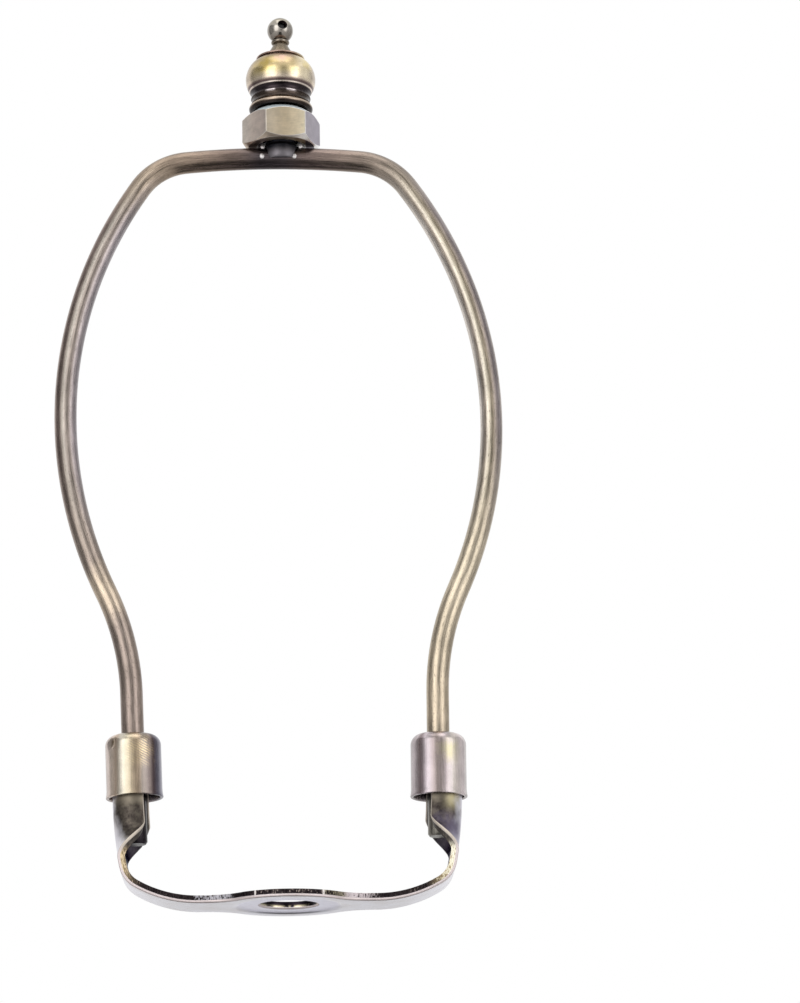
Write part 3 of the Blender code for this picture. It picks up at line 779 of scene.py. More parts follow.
def sleeve_profile():
    """Closed section of the cup's wall as (radius, height), from the hole round the outside."""
    corner = (SLEEVE_RADIUS - SHOULDER_RADIUS, SLEEVE_HEIGHT - SHOULDER_RADIUS)
    hole = WIRE_RADIUS + WIRE_PLAY
    inside = SLEEVE_RADIUS - SLEEVE_WALL
    foot = SLEEVE_RADIUS + FLARE
    outer_lip = arc((foot - LIP_ROUND, LIP_ROUND), LIP_ROUND, 0, -pi / 2, 4)
    inner_lip = arc((foot - SLEEVE_WALL + LIP_ROUND, LIP_ROUND), LIP_ROUND, -pi / 2, -pi, 4)
    outside = [(SLEEVE_RADIUS, z) for z in np.linspace(corner[1], FLARE_HEIGHT, 24)[1:]]
    return [(hole, SLEEVE_HEIGHT - LIP_ROUND), (hole + LIP_ROUND, SLEEVE_HEIGHT),
            *arc(corner, SHOULDER_RADIUS, pi / 2, 0, 14), *outside,
            (SLEEVE_RADIUS + FLARE * 0.4, FLARE_HEIGHT * 0.5), *outer_lip, *inner_lip,
            (inside + FLARE * 0.3, FLARE_HEIGHT * 0.5), (inside, FLARE_HEIGHT), (inside, corner[1]),
            *arc(corner, SHOULDER_RADIUS - SLEEVE_WALL, 0, pi / 2, 8)[1:],
            (hole, SLEEVE_HEIGHT - SLEEVE_WALL)]


def stacked(rings, closed=False):
    """Points and faces of rings that are joined each to the next."""
    steps = len(rings[0])
    points = [point for ring in rings for point in ring]
    pairs = list(zip(range(len(rings)), range(1, len(rings))))
    if closed:
        pairs.append((len(rings) - 1, 0))
    faces = []
    for a, b in pairs:
        for i in range(steps):
            j = (i + 1) % steps
            faces.append((a * steps + i, a * steps + j, b * steps + j, b * steps + i))
    return points, faces


def turned(profile, steps, closed=False):
    """Points and faces of a profile turned about Z, with a pole where it meets the axis."""
    rings = [[(r * cos(2 * pi * i / steps), r * sin(2 * pi * i / steps), z) for i in range(steps)]
             for r, z in profile]
    return stacked(rings, closed)


def filed_marks(material):
    """Slanting marks of a file in one patch of the left cup."""
    marks = add_node(material, "TexWave", {"wave_type": "BANDS", "bands_direction": "Z"},
                     Vector=own_place(material, turn=(0, FILED["slant"], 0)), Distortion=2.5,
                     Detail=3.0, Detail_Scale=2.0, Scale=pi / 10 / FILED["spacing"]).outputs["Fac"]
    return multiply(material, patch(material, FILED["place"], FILED["size"]), marks)


def sleeve_metal(side, x):
    """Satin brass, its tones round the cup part patina and part painted reflections of the
    surroundings.
    """
    material, shader = new_finish("sleeve_brass_" + side, 0.25)
    axes = own_axes(material)
    turn = degrees_round(material, add(material, axes["X"], -x), multiply(material, axes["Y"], -1.0))
    tone = ramp(material, turn, SLEEVE_TONES[side])["Color"]
    lines = speckle(material, own_place(material, (1, 1, 0.05)), 0.00030, 2)
    shade = multiply(material, share_between(material, lines, 0.35, 0.65, 0.95, 1.05),
                     clouding(material, own_place(material), 0.0028, 0.92, 1.08))
    tone = shaded(material, tone, shade)
    height = lines
    if side == "left":
        filed = filed_marks(material)
        tone = blend(material, multiply(material, filed, 0.75), tone, tint(230, 208, 164))
        # The patch over the dent is painted darker.
        dent_dark = patch(material, dent_place(x, SLEEVE_FOOT[side]), DENT["size"] * 1.5, 0.3)
        tone = blend(material, dent_dark, tone, tint(92, 74, 44))
        height = add(material, lines, multiply(material, filed, -2.0))
    else:
        # A gold stripe painted high on the right cup.
        yellow = patch(material, GOLD_STRIPE["place"], GOLD_STRIPE["size"], 0.3)
        tone = blend(material, multiply(material, yellow, 0.8), tone, tint(190, 182, 146))
    specks = share_between(material, speckle(material, own_place(material), 0.0005, 5, 0.7),
                           0.62, 0.76, 0, 0.5)
    tone = blend(material, specks, tone, tint(84, 70, 60))
    rough = share_between(material, lines, 0.3, 0.7, 0.2, 0.3)
    dress(material, shader, Base_Color=tone, Roughness=rough,
          Normal=bump(material, height, 0.00002, 0.4))
    return material


def dent_place(x, foot):
    """Middle of the dent on a cup whose axis stands at this x."""
    return (x + SLEEVE_RADIUS * cos(DENT["turn"]), SLEEVE_RADIUS * sin(DENT["turn"]),
            foot + DENT["height"])


def dented(points):
    """The cup's points with a shallow hollow pressed into its side."""
    middle = Vector(dent_place(0, 0))
    pressed = []
    for x, y, z in points:
        away = (Vector((x, y, z)) - middle).length / DENT["size"]
        share = 1 - DENT["depth"] / SLEEVE_RADIUS * float(np.exp(-away * away))
        pressed.append((x * share, y * share, z))
    return pressed


def build_sleeve(side, outward):
    foot = SLEEVE_FOOT[side]
    axis = outward * leg_x(foot) - settled(foot)
    points, faces = turned(sleeve_profile(), 96, closed=True)
    if side == DENT["side"]:
        points = dented(points)
    lean = outward * tan(LEG_TAPER) - LOOP_LEAN / (CROWN_HEIGHT - LEFT_LEG_END)
    place = Matrix.Translation((axis, 0, foot)) @ Matrix.Rotation(atan2(lean, 1), 4, "Y")
    placed = [place @ Vector(point) for point in points]
    return mesh_piece("sleeve_cup_" + side, placed, faces, sleeve_metal(side, axis))


for side, outward in (("left", -1), ("right", 1)):
    sleeve = build_sleeve(side, outward)
    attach(sleeve, "sleeve_" + side)
    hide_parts("sleeve_" + side)

# STUD
# A blackened steel stud with the 27-turns-to-the-inch thread of lamp finials. Its wide foot is
# coped to sit astride the crown and is brazed there, which leaves a bright bead on each side.
INCH = 0.0254
THREAD_PITCH = INCH / 27
THREAD_DEPTH = THREAD_PITCH * 0.55
stud_low, stud_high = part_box("top_stud")
WIRE_TOP = wire_high.z
STUD_RADIUS = 0.003175
FOOT_RADIUS = 0.0033
FOOT_ROUND = 0.0002
FOOT_PLAY = 0.00004
FOOT_SINK = 0.00005
TIP_CHAMFER = 0.0005
THREAD_RUNOUT = 0.0012
BEAD_RADIUS = 0.00048
BEAD_HALF = 0.0014
BRAZE_DROPS = {
    "braze_drop_left": ((-0.00374, -0.00200, 0.14555), 0.00048),
    "braze_drop_right": ((0.00250, -0.00215, 0.14545), 0.00048),
    "braze_top_left": ((-0.00359, -0.00125, 0.14775), 0.00050),
    "braze_top_right": ((0.00368, -0.00125, 0.14790), 0.00050)}


def thread_nodes():
    """A bar cut with one helical thread that runs out at its foot and is chamfered at its tip."""
    tree, entry, exit_node = new_nodes("cut_thread", {
        "Radius": "Float", "Length": "Float", "Pitch": "Float", "Depth": "Float",
        "Runout": "Float", "Chamfer": "Float", "Foot": "Float", "Material": "Material"})
    given = entry.outputs

    def math(operation, first, second=0.0, clamp=False):
        settings = {"operation": operation, "use_clamp": clamp}
        return new_node(tree, "ShaderNodeMath", settings, _0=first, _1=second).outputs[0]

    bar = new_node(tree, "GeometryNodeMeshCylinder", Vertices=72, Side_Segments=170,
                   Radius=given["Radius"], Depth=given["Length"])
    raise_bar = new_node(tree, "ShaderNodeCombineXYZ",
                         Z=math("ADD", math("MULTIPLY", given["Length"], 0.5), given["Foot"]))
    raised = new_node(tree, "GeometryNodeSetPosition", Geometry=bar.outputs["Mesh"],
                      Offset=raise_bar.outputs[0])
    spot = new_node(tree, "ShaderNodeSeparateXYZ",
                    Vector=tree.nodes.new("GeometryNodeInputPosition").outputs[0])
    x, y, z = spot.outputs
    height = math("SUBTRACT", z, given["Foot"])
    turn = math("DIVIDE", math("ARCTAN2", y, x), 2 * pi)
    phase = math("SUBTRACT", math("DIVIDE", height, given["Pitch"]), turn)
    groove = math("MULTIPLY", math("PINGPONG", phase, 0.5), 2.0)
    started = math("DIVIDE", height, given["Runout"], clamp=True)
    cut = math("MULTIPLY", math("MULTIPLY", groove, started), given["Depth"])
    below_tip = math("SUBTRACT", given["Length"], height)
    chamfer = math("MAXIMUM", math("SUBTRACT", given["Chamfer"], below_tip), 0.0)
    radius = math("SUBTRACT", given["Radius"], math("MAXIMUM", cut, chamfer))
    share = math("DIVIDE", radius, given["Radius"])
    scaled = new_node(tree, "ShaderNodeCombineXYZ", X=math("MULTIPLY", x, share),
                      Y=math("MULTIPLY", y, share), Z=z)
    threaded = new_node(tree, "GeometryNodeSetPosition", Geometry=raised.outputs[0],
                        Position=scaled.outputs[0])
    finish_nodes(tree, entry, exit_node, threaded.outputs[0])
    return tree


def stud_metal():
    """Black oxide on steel, with a little brown and a scratched shine, painted paler below the wire's
    top and dark above it as the nut's shadow.
    """
    material, shader = new_finish("stud_black", 0.4)
    patches = share_between(material, speckle(material, own_place(material), 0.0009, 4), 0.4, 0.66)
    height = own_axes(material)["Z"]
    # Painted light and shade: paler on the foot below the wire's top, dark above it in the nut's
    # shadow.
    low = smooth_share(material, height, WIRE_TOP - 0.0004, WIRE_TOP - 0.0020)
    tone = blend(material, patches, tint(40, 42, 50), tint(62, 60, 64))
    tone = blend(material, low, tone, tint(116, 112, 116))
    dress(material, shader, Base_Color=tone, Roughness=between(material, patches, 0.45, 0.6))
    return material


def braze_metal():
    """Bright braze that wetted the joint and was left as it ran."""
    material, shader = new_finish("braze", 0.5)
    patches = share_between(material, speckle(material, own_place(material), 0.0006), 0.35, 0.7)
    tone = blend(material, patches, tint(226, 222, 222), tint(180, 174, 172))
    dress(material, shader, Base_Color=tone, Normal=bump(material, patches, 0.00004, 0.5))
    return material


def stud_foot(material):
    """The foot's saddle shape: a turned collar whose lower rim follows the wire under it."""
    steps = 96
    top = WIRE_TOP - FOOT_SINK
    bore = WIRE_RADIUS + FOOT_PLAY
    axis = WIRE_TOP - WIRE_RADIUS
    section = ((0.0, 1), (FOOT_RADIUS - FOOT_ROUND, 1), (FOOT_RADIUS, 0.93), (FOOT_RADIUS, 0.5),
               (FOOT_RADIUS, 0.12), (FOOT_RADIUS - FOOT_ROUND, 0), (FOOT_RADIUS * 0.75, 0), (0.0, 0))
    rings = []
    for radius, level in section:
        ring = []
        for i in range(steps):
            turn = 2 * pi * i / steps
            y = radius * sin(turn)
            floor = stud_low.z - FOOT_SINK
            if abs(y) < bore:
                floor = max(floor, axis + sqrt(bore ** 2 - y * y))
            ring.append((radius * cos(turn), y, floor + (top - floor) * level))
        rings.append(ring)
    points, faces = stacked(rings)
    return mesh_piece("stud_foot", points, faces, material)


def braze_bead(side, material):
    """A crescent of braze in the corner between the foot and the top of the wire."""
    points, girths = [], []
    for share in np.linspace(-1, 1, 25):
        y = share * BEAD_HALF
        x = sqrt((FOOT_RADIUS + BEAD_RADIUS * 0.8) ** 2 - y * y)
        z = WIRE_TOP - WIRE_RADIUS + sqrt((WIRE_RADIUS + BEAD_RADIUS * 0.5) ** 2 - y * y)
        points.append((side * x, y, z))
        girths.append(0.35 + 0.65 * sqrt(1 - share * share))
    name = "braze_left" if side < 0 else "braze_right"
    values = {"Radius": BEAD_RADIUS, "Sides": 20, "Material": material}
    return grown(name, line_host(points, girths), bpy.data.node_groups["swept_wire"], values)


def braze_drop(name, place, width, material):
    """A drop of braze that ran down the joint or stood beside the foot."""
    mesh = bpy.data.meshes.new(name)
    shape = bmesh.new()
    bmesh.ops.create_uvsphere(shape, u_segments=24, v_segments=14, radius=1)
    bmesh.ops.scale(shape, verts=shape.verts, vec=(width, width * 0.5, width * 1.2))
    bmesh.ops.translate(shape, verts=shape.verts, vec=place)
    shape.to_mesh(mesh)
    shape.free()
    mesh.shade_smooth()
    mesh.materials.append(material)
    return new_object(name, mesh)


black = stud_metal()
stud = grown("stud_thread", new_object("bar", bpy.data.meshes.new("bar")), thread_nodes(), {
    "Radius": STUD_RADIUS, "Length": stud_high.z - WIRE_TOP, "Pitch": THREAD_PITCH,
    "Depth": THREAD_DEPTH, "Runout": THREAD_RUNOUT, "Chamfer": TIP_CHAMFER, "Foot": WIRE_TOP,
    "Material": black})
foot = stud_foot(black)
braze = braze_metal()
beads = [braze_bead(side, braze) for side in (-1, 1)]
beads += [braze_drop(name, place, width, braze) for name, (place, width) in BRAZE_DROPS.items()]
for piece in (stud, foot, *beads):
    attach(piece, "loop")
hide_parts("top_stud")

# NUT
# A hex nut parted from brass bar, with both ends turned to a chamfer and the lower one countersunk,
# plated and antiqued. The corners have worn bright, and the flats keep the grain of the bar.
nut_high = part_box("hex_nut")[1]
ACROSS_FLATS = 0.0132
NUT_FOOT = WIRE_TOP + 0.00003
NUT_HEIGHT = nut_high.z - NUT_FOOT
NUT_TURN = radians(7.7)
TOP_FACE_RADIUS = 0.0052
TOP_CHAMFER = radians(36)
BOTTOM_FACE_RADIUS = 0.0064
BOTTOM_CHAMFER = radians(34)
TAPPED_RADIUS = STUD_RADIUS + 0.0003
COUNTERSINK = 0.0013
CORNER_WEAR = 0.00028
PALE_AT = 0.008
# Tones of the flats along X, which paint a different reflection on each face.
NUT_TONES = (
    (-0.0078, (250, 240, 228)), (-0.0055, (234, 218, 206)), (-0.0031, (212, 196, 186)),
    (-0.0028, (214, 200, 178)), (0.0006, (209, 192, 163)), (0.0030, (228, 212, 182)),
    (0.0045, (246, 232, 202)), (0.0048, (158, 151, 160)), (0.0078, (157, 151, 162)))
# White spots on the countersink's wall: painted glints.
GLINTS = ((-0.00354, 0.00158, 0.14878), (0.00369, 0.00120, 0.14878))


def round_solid(name, profile, material, steps=128):
    """A turned solid as an object of its own, for cutting."""
    points, faces = turned(profile, steps)
    return mesh_piece(name, points, faces, material)


def cut(piece, other, operation):
    """Cuts or trims a piece by another object, whose material the cut faces keep."""
    modifier = piece.modifiers.new("Cut", "BOOLEAN")
    modifier.operation = operation
    modifier.material_mode = "TRANSFER"
    modifier.object = other
    modifier.solver = "EXACT"
    piece.data = finished_mesh(piece)
    bpy.data.objects.remove(other)


def nut_metal(name, stops, rough=0.3, metallic=1.0, glints=()):
    """Satin brass with fine lines across the flats, its tones given as stops along X that partly
    paint reflections, and painted white glints at any spots given.
    """
    material, shader = new_finish(name, rough, metallic)
    tone = ramp(material, own_axes(material)["X"], stops)["Color"]
    lines = speckle(material, own_place(material, (0.10, 0.10, 1)), 0.00016, 3)
    shade = multiply(material, share_between(material, lines, 0.30, 0.70, 0.94, 1.06),
                     clouding(material, own_place(material), 0.0016, 0.90, 1.08, 4, 0.6))
    tone = shaded(material, tone, shade)
    for spot in glints:
        glint = smooth_share(material, patch(material, spot, 0.0013, 0.05), 0.05, 0.3)
        tone = blend(material, glint, tone, tint(255, 255, 255))
        metallic = multiply(material, metallic, between(material, glint, 1, 0))
        dress(material, shader, Metallic=metallic)
    dress(material, shader, Base_Color=tone, Normal=bump(material, lines, 0.00001, 0.2))
    return material


def paling(red, green, blue):
    """Stops of one colour that pales to white toward the right."""
    return ((0, (red, green, blue)), (PALE_AT, (255, 255, 255)))


def build_nut():
    corner = ACROSS_FLATS / 2 / cos(pi / 6)
    low, high = NUT_FOOT, nut_high.z
    flats = nut_metal("nut_brass", NUT_TONES)
    # The top chamfer's pale blue-white, half-matt tone is a painted highlight band.
    top_end = nut_metal("nut_top", paling(226, 238, 242), 0.45, 0.5)
    foot_end = nut_metal("nut_foot", paling(206, 190, 172), 0.35)
    # The countersink is painted dark as the shade under the nut, with the painted glints on its wall.
    sunk = nut_metal("nut_sunk", paling(62, 52, 50), 0.5, 1.0, GLINTS)
    worn = nut_metal("nut_worn", paling(246, 240, 230), 0.3)
    mesh = bpy.data.meshes.new("nut_bar")
    shape = bmesh.new()
    bmesh.ops.create_cone(shape, cap_ends=True, segments=6, radius1=corner, radius2=corner,
                          depth=NUT_HEIGHT)
    bmesh.ops.rotate(shape, verts=shape.verts, matrix=Matrix.Rotation(NUT_TURN + pi / 6, 3, "Z"))
    bmesh.ops.translate(shape, verts=shape.verts, vec=(0, 0, (low + high) / 2))
    shape.to_mesh(mesh)
    shape.free()
    for material in (flats, worn):
        mesh.materials.append(material)
    nut = new_object("nut_hex", mesh)

    past = 0.0003
    outside = corner + past
    top = [(0, high + past), (TOP_FACE_RADIUS - past / tan(TOP_CHAMFER), high + past),
           (outside, high - (outside - TOP_FACE_RADIUS) * tan(TOP_CHAMFER)),
           (outside, low - past), (0, low - past)]
    cut(nut, round_solid("nut_top", top, top_end), "INTERSECT")
    foot = [(0, high + past), (outside, high + past),
            (outside, low + (outside - BOTTOM_FACE_RADIUS) * tan(BOTTOM_CHAMFER)),
            (BOTTOM_FACE_RADIUS - past / tan(BOTTOM_CHAMFER), low - past), (0, low - past)]
    cut(nut, round_solid("nut_foot", foot, foot_end), "INTERSECT")
    sink = TAPPED_RADIUS + COUNTERSINK
    bore = [(0, high + past), (TAPPED_RADIUS, high + past), (TAPPED_RADIUS, low + COUNTERSINK),
            (sink + past, low - past), (0, low - past)]
    cut(nut, round_solid("nut_hole", bore, sunk), "DIFFERENCE")
    return nut


def worn_edges(piece, width):
    """Rounds a piece's hard edges and gives the rounding the second of its materials."""
    bevel = piece.modifiers.new("Wear", "BEVEL")
    bevel.width = width
    bevel.segments = 3
    bevel.limit_method = "ANGLE"
    bevel.angle_limit = radians(25)
    bevel.material = 1
    bevel.harden_normals = True
    piece.data = finished_mesh(piece)


nut = build_nut()
worn_edges(nut, CORNER_WEAR)
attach(nut, "nut")
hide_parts("hex_nut")

# FINIAL
# Turned from brass bar in one piece: a flange, a collar with a ring between two hollows, a bulb,
# a flat cap, a slim neck and a ball with a cross hole. It was antiqued and then relieved, so that
# the grooves stayed nearly black and the bulb came up gold. The collar's near-black is also painted
# dark reflection, and light and shade are painted on the flange and bulb.
finial_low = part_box("finial")[0]
FLANGE = {"radius": 0.00620, "height": 0.00130}
COLLAR = {"radius": 0.00596, "ring": 0.00580, "height": 0.00295, "hollow": 0.00022}
COLLAR_RING = 0.00016
BULB = {"radius": 0.00678, "arc": 0.00470, "top_radius": 0.00470}
GROOVE = {"depth": 0.00040, "height": 0.00030}
CAP = {"radius": 0.00472, "height": 0.00055, "rim": 0.00040}
NECK = {"radius": 0.00137, "height": 0.00282, "foot_radius": 0.00300}
BEAD = {"radius": 0.00178, "height": 0.00080}
BALL_RADIUS = 0.00253
BORE_DEPTH = 0.0070
CROSS_HOLE = {"radius": 0.00095, "rise": 0.0004, "turn": radians(12)}
RING_HIGHLIGHT = {"inner": 0.0009, "outer": 0.0032, "half": 0.0003}
EDGE_BREAK = 0.00012
BULB_TINTS = (
    ((-0.0030, -0.0058, 0.1632), 0.0028, (190, 166, 92)),
    ((0.0003, -0.0060, 0.1646), 0.0024, (196, 162, 146)),
    ((0.0052, -0.0038, 0.1640), 0.0024, (226, 206, 140)))


def cove(start, end):
    """Points of a hollow of the collar, from just below one point of its profile to another."""
    shares = [(i + 1) / 12 for i in range(11)]
    return [(start[0] + (end[0] - start[0]) * share - COLLAR["hollow"] * 4 * share * (1 - share),
             start[1] + (end[1] - start[1]) * share) for share in shares]


def finial_profile():
    """Outer side from the ball down to the flange, then up the blind bore, and its levels."""
    foot = finial_low.z
    collar_foot = foot + FLANGE["height"]
    bulb_foot = collar_foot + COLLAR["height"]
    bulb_x = BULB["radius"] - BULB["arc"]
    below = acos((COLLAR["radius"] + EDGE_BREAK - bulb_x) / BULB["arc"])
    above = acos((BULB["top_radius"] - bulb_x) / BULB["arc"])
    bulb = (bulb_x, bulb_foot + BULB["arc"] * sin(below))
    bulb_top = bulb[1] + BULB["arc"] * sin(above)
    groove_radius = BULB["top_radius"] - GROOVE["depth"]
    cap_foot = bulb_top + GROOVE["height"]
    neck_foot = cap_foot + CAP["height"]
    flare = NECK["foot_radius"] - NECK["radius"]
    bead_foot = neck_foot + NECK["height"]
    bead_top = bead_foot + BEAD["height"]
    seat = asin(NECK["radius"] / BALL_RADIUS)
    ball = (0, bead_top + BALL_RADIUS * cos(seat))
    ring = (COLLAR["ring"] - COLLAR_RING, collar_foot + COLLAR["height"] / 2)
    rim = CAP["rim"] / 2
    round_flange = FLANGE["height"] / 2
    bead = BEAD["height"] / 2
    bore = TAPPED_RADIUS
    profile = [
        *arc(ball, BALL_RADIUS, pi / 2, seat - pi / 2, 40),
        *arc((BEAD["radius"] - bead, bead_foot + bead), bead, pi / 2, -pi / 2, 10),
        *[(NECK["radius"] + flare * (1 - share) ** 1.2, neck_foot + NECK["height"] * share)
          for share in np.linspace(1, 0, 16)],
        *arc((CAP["radius"] - rim, cap_foot + rim), rim, pi / 2, -pi / 2, 8),
        (groove_radius, cap_foot), (groove_radius, bulb_top),
        *arc(bulb, BULB["arc"], above, -below, 40),
        *arc((COLLAR["radius"], bulb_foot), EDGE_BREAK, 0, -pi / 2, 4)[1:],
        *cove((COLLAR["radius"], bulb_foot - EDGE_BREAK), (ring[0], ring[1] + COLLAR_RING)),
        *arc(ring, COLLAR_RING, pi / 2, -pi / 2, 8),
        *cove((ring[0], ring[1] - COLLAR_RING), (COLLAR["radius"], collar_foot)),
        *arc((FLANGE["radius"] - round_flange, foot + round_flange), round_flange, pi / 2,
             -pi / 2, 14),
        (bore, foot), (bore, foot + BORE_DEPTH), (0, foot + BORE_DEPTH + bore * 0.6)]
    levels = {"flange": foot, "collar": collar_foot, "bulb": bulb_foot, "bulb_top": bulb_top,
              "cap": cap_foot, "neck": neck_foot, "bead": bead_foot, "bead_top": bead_top,
              "ball": ball[1], "top": ball[1] + BALL_RADIUS}
    return profile, levels


def finial_stops(levels):
    """Colours up the finial: gold on the bulb, dark brown in the collar and the grooves, painted
    contact shadow at the flange's foot and a painted highlight low on the bulb.
    """
    flange, collar, bulb, shoulder = (levels[key] for key in ("flange", "collar", "bulb", "bulb_top"))
    brown, light, dark = (84, 72, 66), (226, 212, 200), (52, 45, 48)
    return (
        # Painted contact shadow at the flange's foot over the nut, and a painted highlight in the
        # pale stop about 1 mm above the bulb's foot; the collar's dark is partly painted dark
        # reflection.
        (flange, (50, 43, 42)), (flange + 0.0005, (66, 57, 52)), (flange + 0.0007, (186, 168, 150)),
        (collar - 0.0001, (206, 190, 172)), (collar + 0.0002, (66, 57, 52)),
        (collar + 0.0012, (70, 61, 55)), (bulb - 0.0013, (84, 76, 76)), (bulb - 0.0011, dark),
        (bulb - 0.00016, dark), (bulb - 0.00008, light), (bulb + 0.00006, light),
        (bulb + 0.0002, (96, 80, 80)), (bulb + 0.0005, (120, 102, 98)),
        (bulb + 0.0009, (222, 206, 186)), (bulb + 0.0022, (214, 196, 150)),
        (bulb + 0.0036, (206, 186, 142)), (shoulder - 0.0006, (164, 144, 108)),
        (shoulder, (176, 156, 134)), (shoulder + 0.0001, brown), (levels["cap"] - 0.0001, brown),
        (levels["cap"] + 0.0001, (166, 142, 130)), (levels["neck"] + 0.0002, (150, 130, 116)),
        (levels["neck"] + 0.0010, (126, 114, 96)), (levels["bead"], (136, 126, 112)),
        (levels["bead_top"], (124, 116, 108)), (levels["ball"], (176, 170, 162)),
        (levels["top"], (156, 148, 128)))


def bulb_highlights_and_tints(material, tone, bulb):
    """A painted highlight on the bulb's right side, painted grey reflections on its flanks, and its
    tinted patches.
    """
    axes = own_axes(material)
    on_bulb = smooth_share(material, axes["Z"], bulb + 0.0006, bulb + 0.0016)
    # Painted highlight: the bulb is paler toward its right.
    side = multiply(material, on_bulb, smooth_share(material, axes["X"], 0.0022, 0.0046))
    tone = blend(material, multiply(material, side, 0.8), tone, tint(252, 238, 208))
    # Painted reflection: greyer toward the bulb's silhouette on both sides.
    flanks = smooth_share(material, calculate(material, "ABSOLUTE", axes["X"]), 0.0048, 0.0064)
    flanks = multiply(material, multiply(material, on_bulb, flanks), 0.7)
    tone = blend(material, flanks, tone, tint(186, 172, 164))
    for spot, size, colour in BULB_TINTS:
        tinted = multiply(material, patch(material, spot, size, 0.6), on_bulb)
        tone = blend(material, multiply(material, tinted, 0.85), tone, tint(*colour))
    return tone


def painted_ring_highlight(material, level):
    """Where the collar's ring carries a painted highlight, a little to each side of its front."""
    axes = own_axes(material)
    aside = calculate(material, "ABSOLUTE", axes["X"])
    inner, outer, half = RING_HIGHLIGHT["inner"], RING_HIGHLIGHT["outer"], RING_HIGHLIGHT["half"]
    painted_highlight = multiply(material, smooth_share(material, aside, inner, inner + 0.0005),
                      smooth_share(material, aside, outer, outer - 0.0007))
    across = multiply(material, smooth_share(material, axes["Z"], level - half, level - half / 3),
                      smooth_share(material, axes["Z"], level + half, level + half / 3))
    return multiply(material, painted_highlight, across)


def finial_metal(levels):
    """Relieved brass with fine turning rings, dark specks and a brighter ball, with painted light and
    shade from its stops and a painted highlight on the collar's ring.
    """
    material, shader = new_finish("finial_brass", 0.22)
    place = own_place(material)
    height = own_axes(material)["Z"]
    tone = ramp(material, height, finial_stops(levels))["Color"]
    tone = bulb_highlights_and_tints(material, tone, levels["bulb"])
    tone = shaded(material, tone, clouding(material, place, 0.0022, 0.84, 1.08))
    # Painted highlight on the collar's ring.
    painted_highlight = painted_ring_highlight(material, (levels["collar"] + levels["bulb"]) / 2)
    tone = blend(material, painted_highlight, tone, tint(222, 212, 212))
    rings = speckle(material, own_place(material, (0.1, 0.1, 1)), 0.00018, 2)
    specks = share_between(material, speckle(material, place, 0.0004, 5, 0.7), 0.60, 0.76, 0, 0.6)
    tone = blend(material, specks, tone, tint(84, 70, 54))
    ball = smooth_share(material, height, levels["bead"], levels["bead_top"])
    rough = between(material, ball, share_between(material, rings, 0.3, 0.7, 0.2, 0.32), 0.16)
    dress(material, shader, Base_Color=tone, Roughness=rough,
          Normal=bump(material, rings, 0.00001, 0.3))
    return material


def hollow_metal():
    """Dark brown painted shade inside the cross hole."""
    material, shader = new_finish("finial_hole_shade", 0.6)
    shader.inputs["Base Color"].default_value = tint(40, 30, 30)
    return material


def build_finial():
    profile, levels = finial_profile()
    points, faces = turned(profile, 128)
    finial = mesh_piece("finial_turned", points, faces, finial_metal(levels), sharp=radians(30))
    length = BALL_RADIUS * 3
    radius = CROSS_HOLE["radius"]
    drill = round_solid("drill", [(0, length / 2), (radius, length / 2), (radius, -length / 2),
                                  (0, -length / 2)], hollow_metal(), 48)
    centre = Vector((0, 0, levels["ball"] + CROSS_HOLE["rise"]))
    drill.data.transform(Matrix.Translation(centre) @ Matrix.Rotation(CROSS_HOLE["turn"], 4, "Z")
                         @ Matrix.Rotation(pi / 2, 4, "X"))
    cut(finial, drill, "DIFFERENCE")
    return finial


finial = build_finial()
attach(finial, "finial")
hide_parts("finial")

# STUDIO
# A pale floor below the object, a white surround, two tall soft boxes in front and one above,
# and grey cards beside, before and below the object that draw the metal's edges.
FLOOR_HEIGHT = -0.20
FLOOR_SIZE = 2.4
FLOOR_SHADE = 240
CAMERA_PLACE = (0.0, -0.613, -0.092)
CAMERA_YAW = radians(2.0326)
CAMERA_PITCH = radians(15.36)
CAMERA_ROLL = radians(-1.1003)
PHOTO_WIDTH = 800
FOCAL_PIXELS = 3368.16
SENSOR = 36.0
SURROUND_LIGHT = 0.6
AIM = Vector((0, 0, 0.085))


def seen_white(tree, light):
    """White where the camera, a reflection or glass looks at it, and this bright as a light."""
    path = new_node(tree, "ShaderNodeLightPath").outputs
    seen = path["Is Camera Ray"]
    for other in (path["Is Glossy Ray"], path["Is Transmission Ray"]):
        seen = new_node(tree, "ShaderNodeMath", {"operation": "MAXIMUM"}, _0=seen,
                        _1=other).outputs[0]
    return new_node(tree, "ShaderNodeMapRange", Value=seen, To_Min=light, To_Max=1.0).outputs[0]


def stage_sheet(name, width, height, place, material, face=None):
    """A flat sheet of the studio, which faces a point or lies level."""
    mesh = bpy.data.meshes.new(name)
    x, y = width / 2, height / 2
    mesh.from_pydata([(-x, -y, 0), (x, -y, 0), (x, y, 0), (-x, y, 0)], [], [(0, 1, 2, 3)])
    mesh.materials.append(material)
    sheet = new_object(name, mesh)
    sheet.location = place
    if face is not None:
        sheet.rotation_euler = (face - Vector(place)).to_track_quat("Z", "Y").to_euler()
    return sheet


def round_object(turn, distance, height):
    """A place at a turn about the object, from straight in front toward the right."""
    return Vector((sin(turn) * distance, -cos(turn) * distance, height))


def soft_box(name, place, width, tall, power):
    lamp = bpy.data.lights.new(name, "AREA")
    lamp.shape = "RECTANGLE"
    lamp.size = width
    lamp.size_y = tall
    lamp.energy = power
    box = new_object(name, lamp)
    box.location = place
    box.rotation_euler = (AIM - place).to_track_quat("-Z", "Y").to_euler()


def matt_paint(name, shade, specular=0.5):
    material, shader = new_finish(name, 0.9, 0.0)
    shader.inputs["Base Color"].default_value = tint(shade, shade, shade)
    shader.inputs["Specular IOR Level"].default_value = specular
    return material


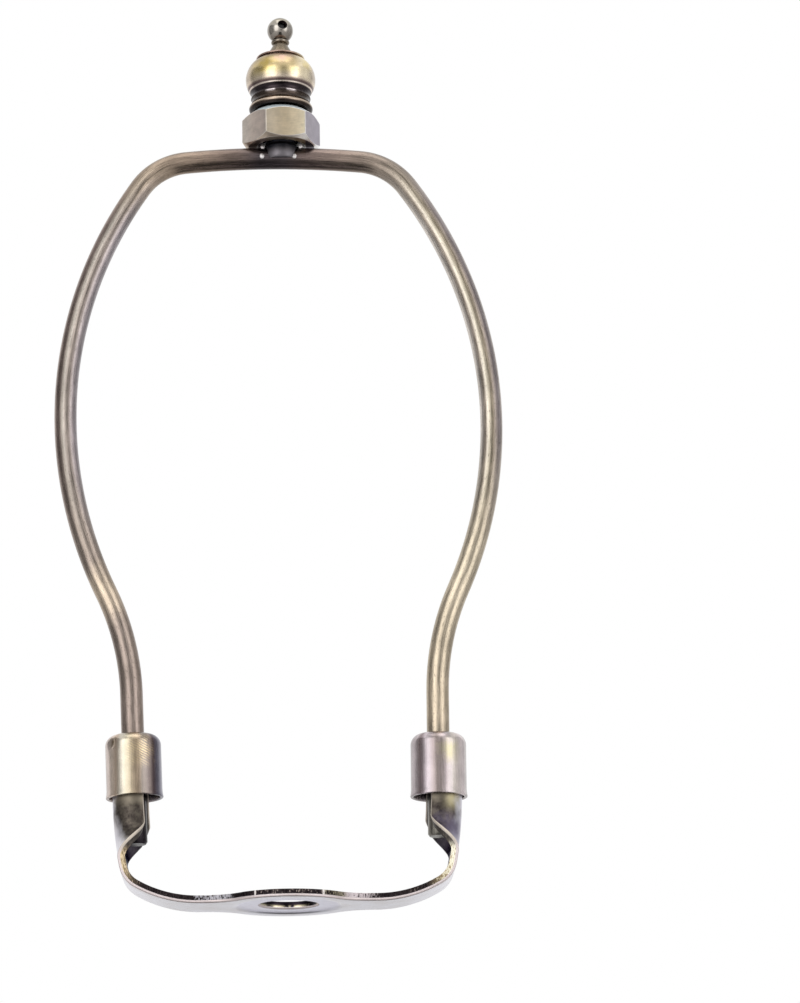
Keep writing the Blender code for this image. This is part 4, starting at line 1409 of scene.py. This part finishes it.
def grey_card(name, place, width, tall, shade, level=False):
    """A card that only reflections see, so that it hides nothing and casts no shadow."""
    material = matt_paint(name, shade, 0.1)
    card = stage_sheet(name, width, tall, place, material, None if level else AIM)
    card.visible_camera = False
    card.visible_shadow = False
    card.visible_diffuse = False


world = bpy.data.worlds.new("studio")
world.use_nodes = True
background = world.node_tree.nodes["Background"]
background.inputs["Color"].default_value = (1, 1, 1, 1)
strength = seen_white(world.node_tree, SURROUND_LIGHT)
world.node_tree.links.new(strength, background.inputs["Strength"])
bpy.context.scene.world = world

paint = matt_paint("floor_paint", FLOOR_SHADE)
stage_sheet("floor", FLOOR_SIZE, FLOOR_SIZE, (0, 0, FLOOR_HEIGHT), paint)

soft_box("box_left", round_object(radians(-32), 1.2, 0.25), width=0.72, tall=1.3, power=4.4)
soft_box("box_right", round_object(radians(47), 1.2, 0.25), width=0.55, tall=1.3, power=3.2)
soft_box("box_top", round_object(0, 0.3, 1.4), width=1.0, tall=1.0, power=3.4)
grey_card("card_centre", round_object(radians(12), 1.5, AIM.z), width=0.55, tall=2.2, shade=200)
grey_card("card_left", round_object(radians(-88), 1.3, AIM.z), width=1.4, tall=2.2, shade=185)
grey_card("card_right", round_object(radians(100), 1.3, AIM.z), width=1.4, tall=2.2, shade=235)
grey_card("card_below", Vector((0, -0.18, FLOOR_HEIGHT + 0.01)), width=0.26, tall=0.90, shade=92,
          level=True)

lens = bpy.data.cameras.new("camera")
lens.sensor_fit = "HORIZONTAL"
lens.sensor_width = SENSOR
lens.lens = FOCAL_PIXELS * SENSOR / PHOTO_WIDTH
lens.clip_start = 0.01
camera = new_object("camera", lens)
camera.matrix_world = (Matrix.Translation(CAMERA_PLACE) @ Matrix.Rotation(-CAMERA_YAW, 4, "Z")
                       @ Matrix.Rotation(pi / 2 + CAMERA_PITCH, 4, "X")
                       @ Matrix.Rotation(CAMERA_ROLL, 4, "Z"))
bpy.context.scene.camera = camera
bpy.context.scene.view_settings.view_transform = "Standard"
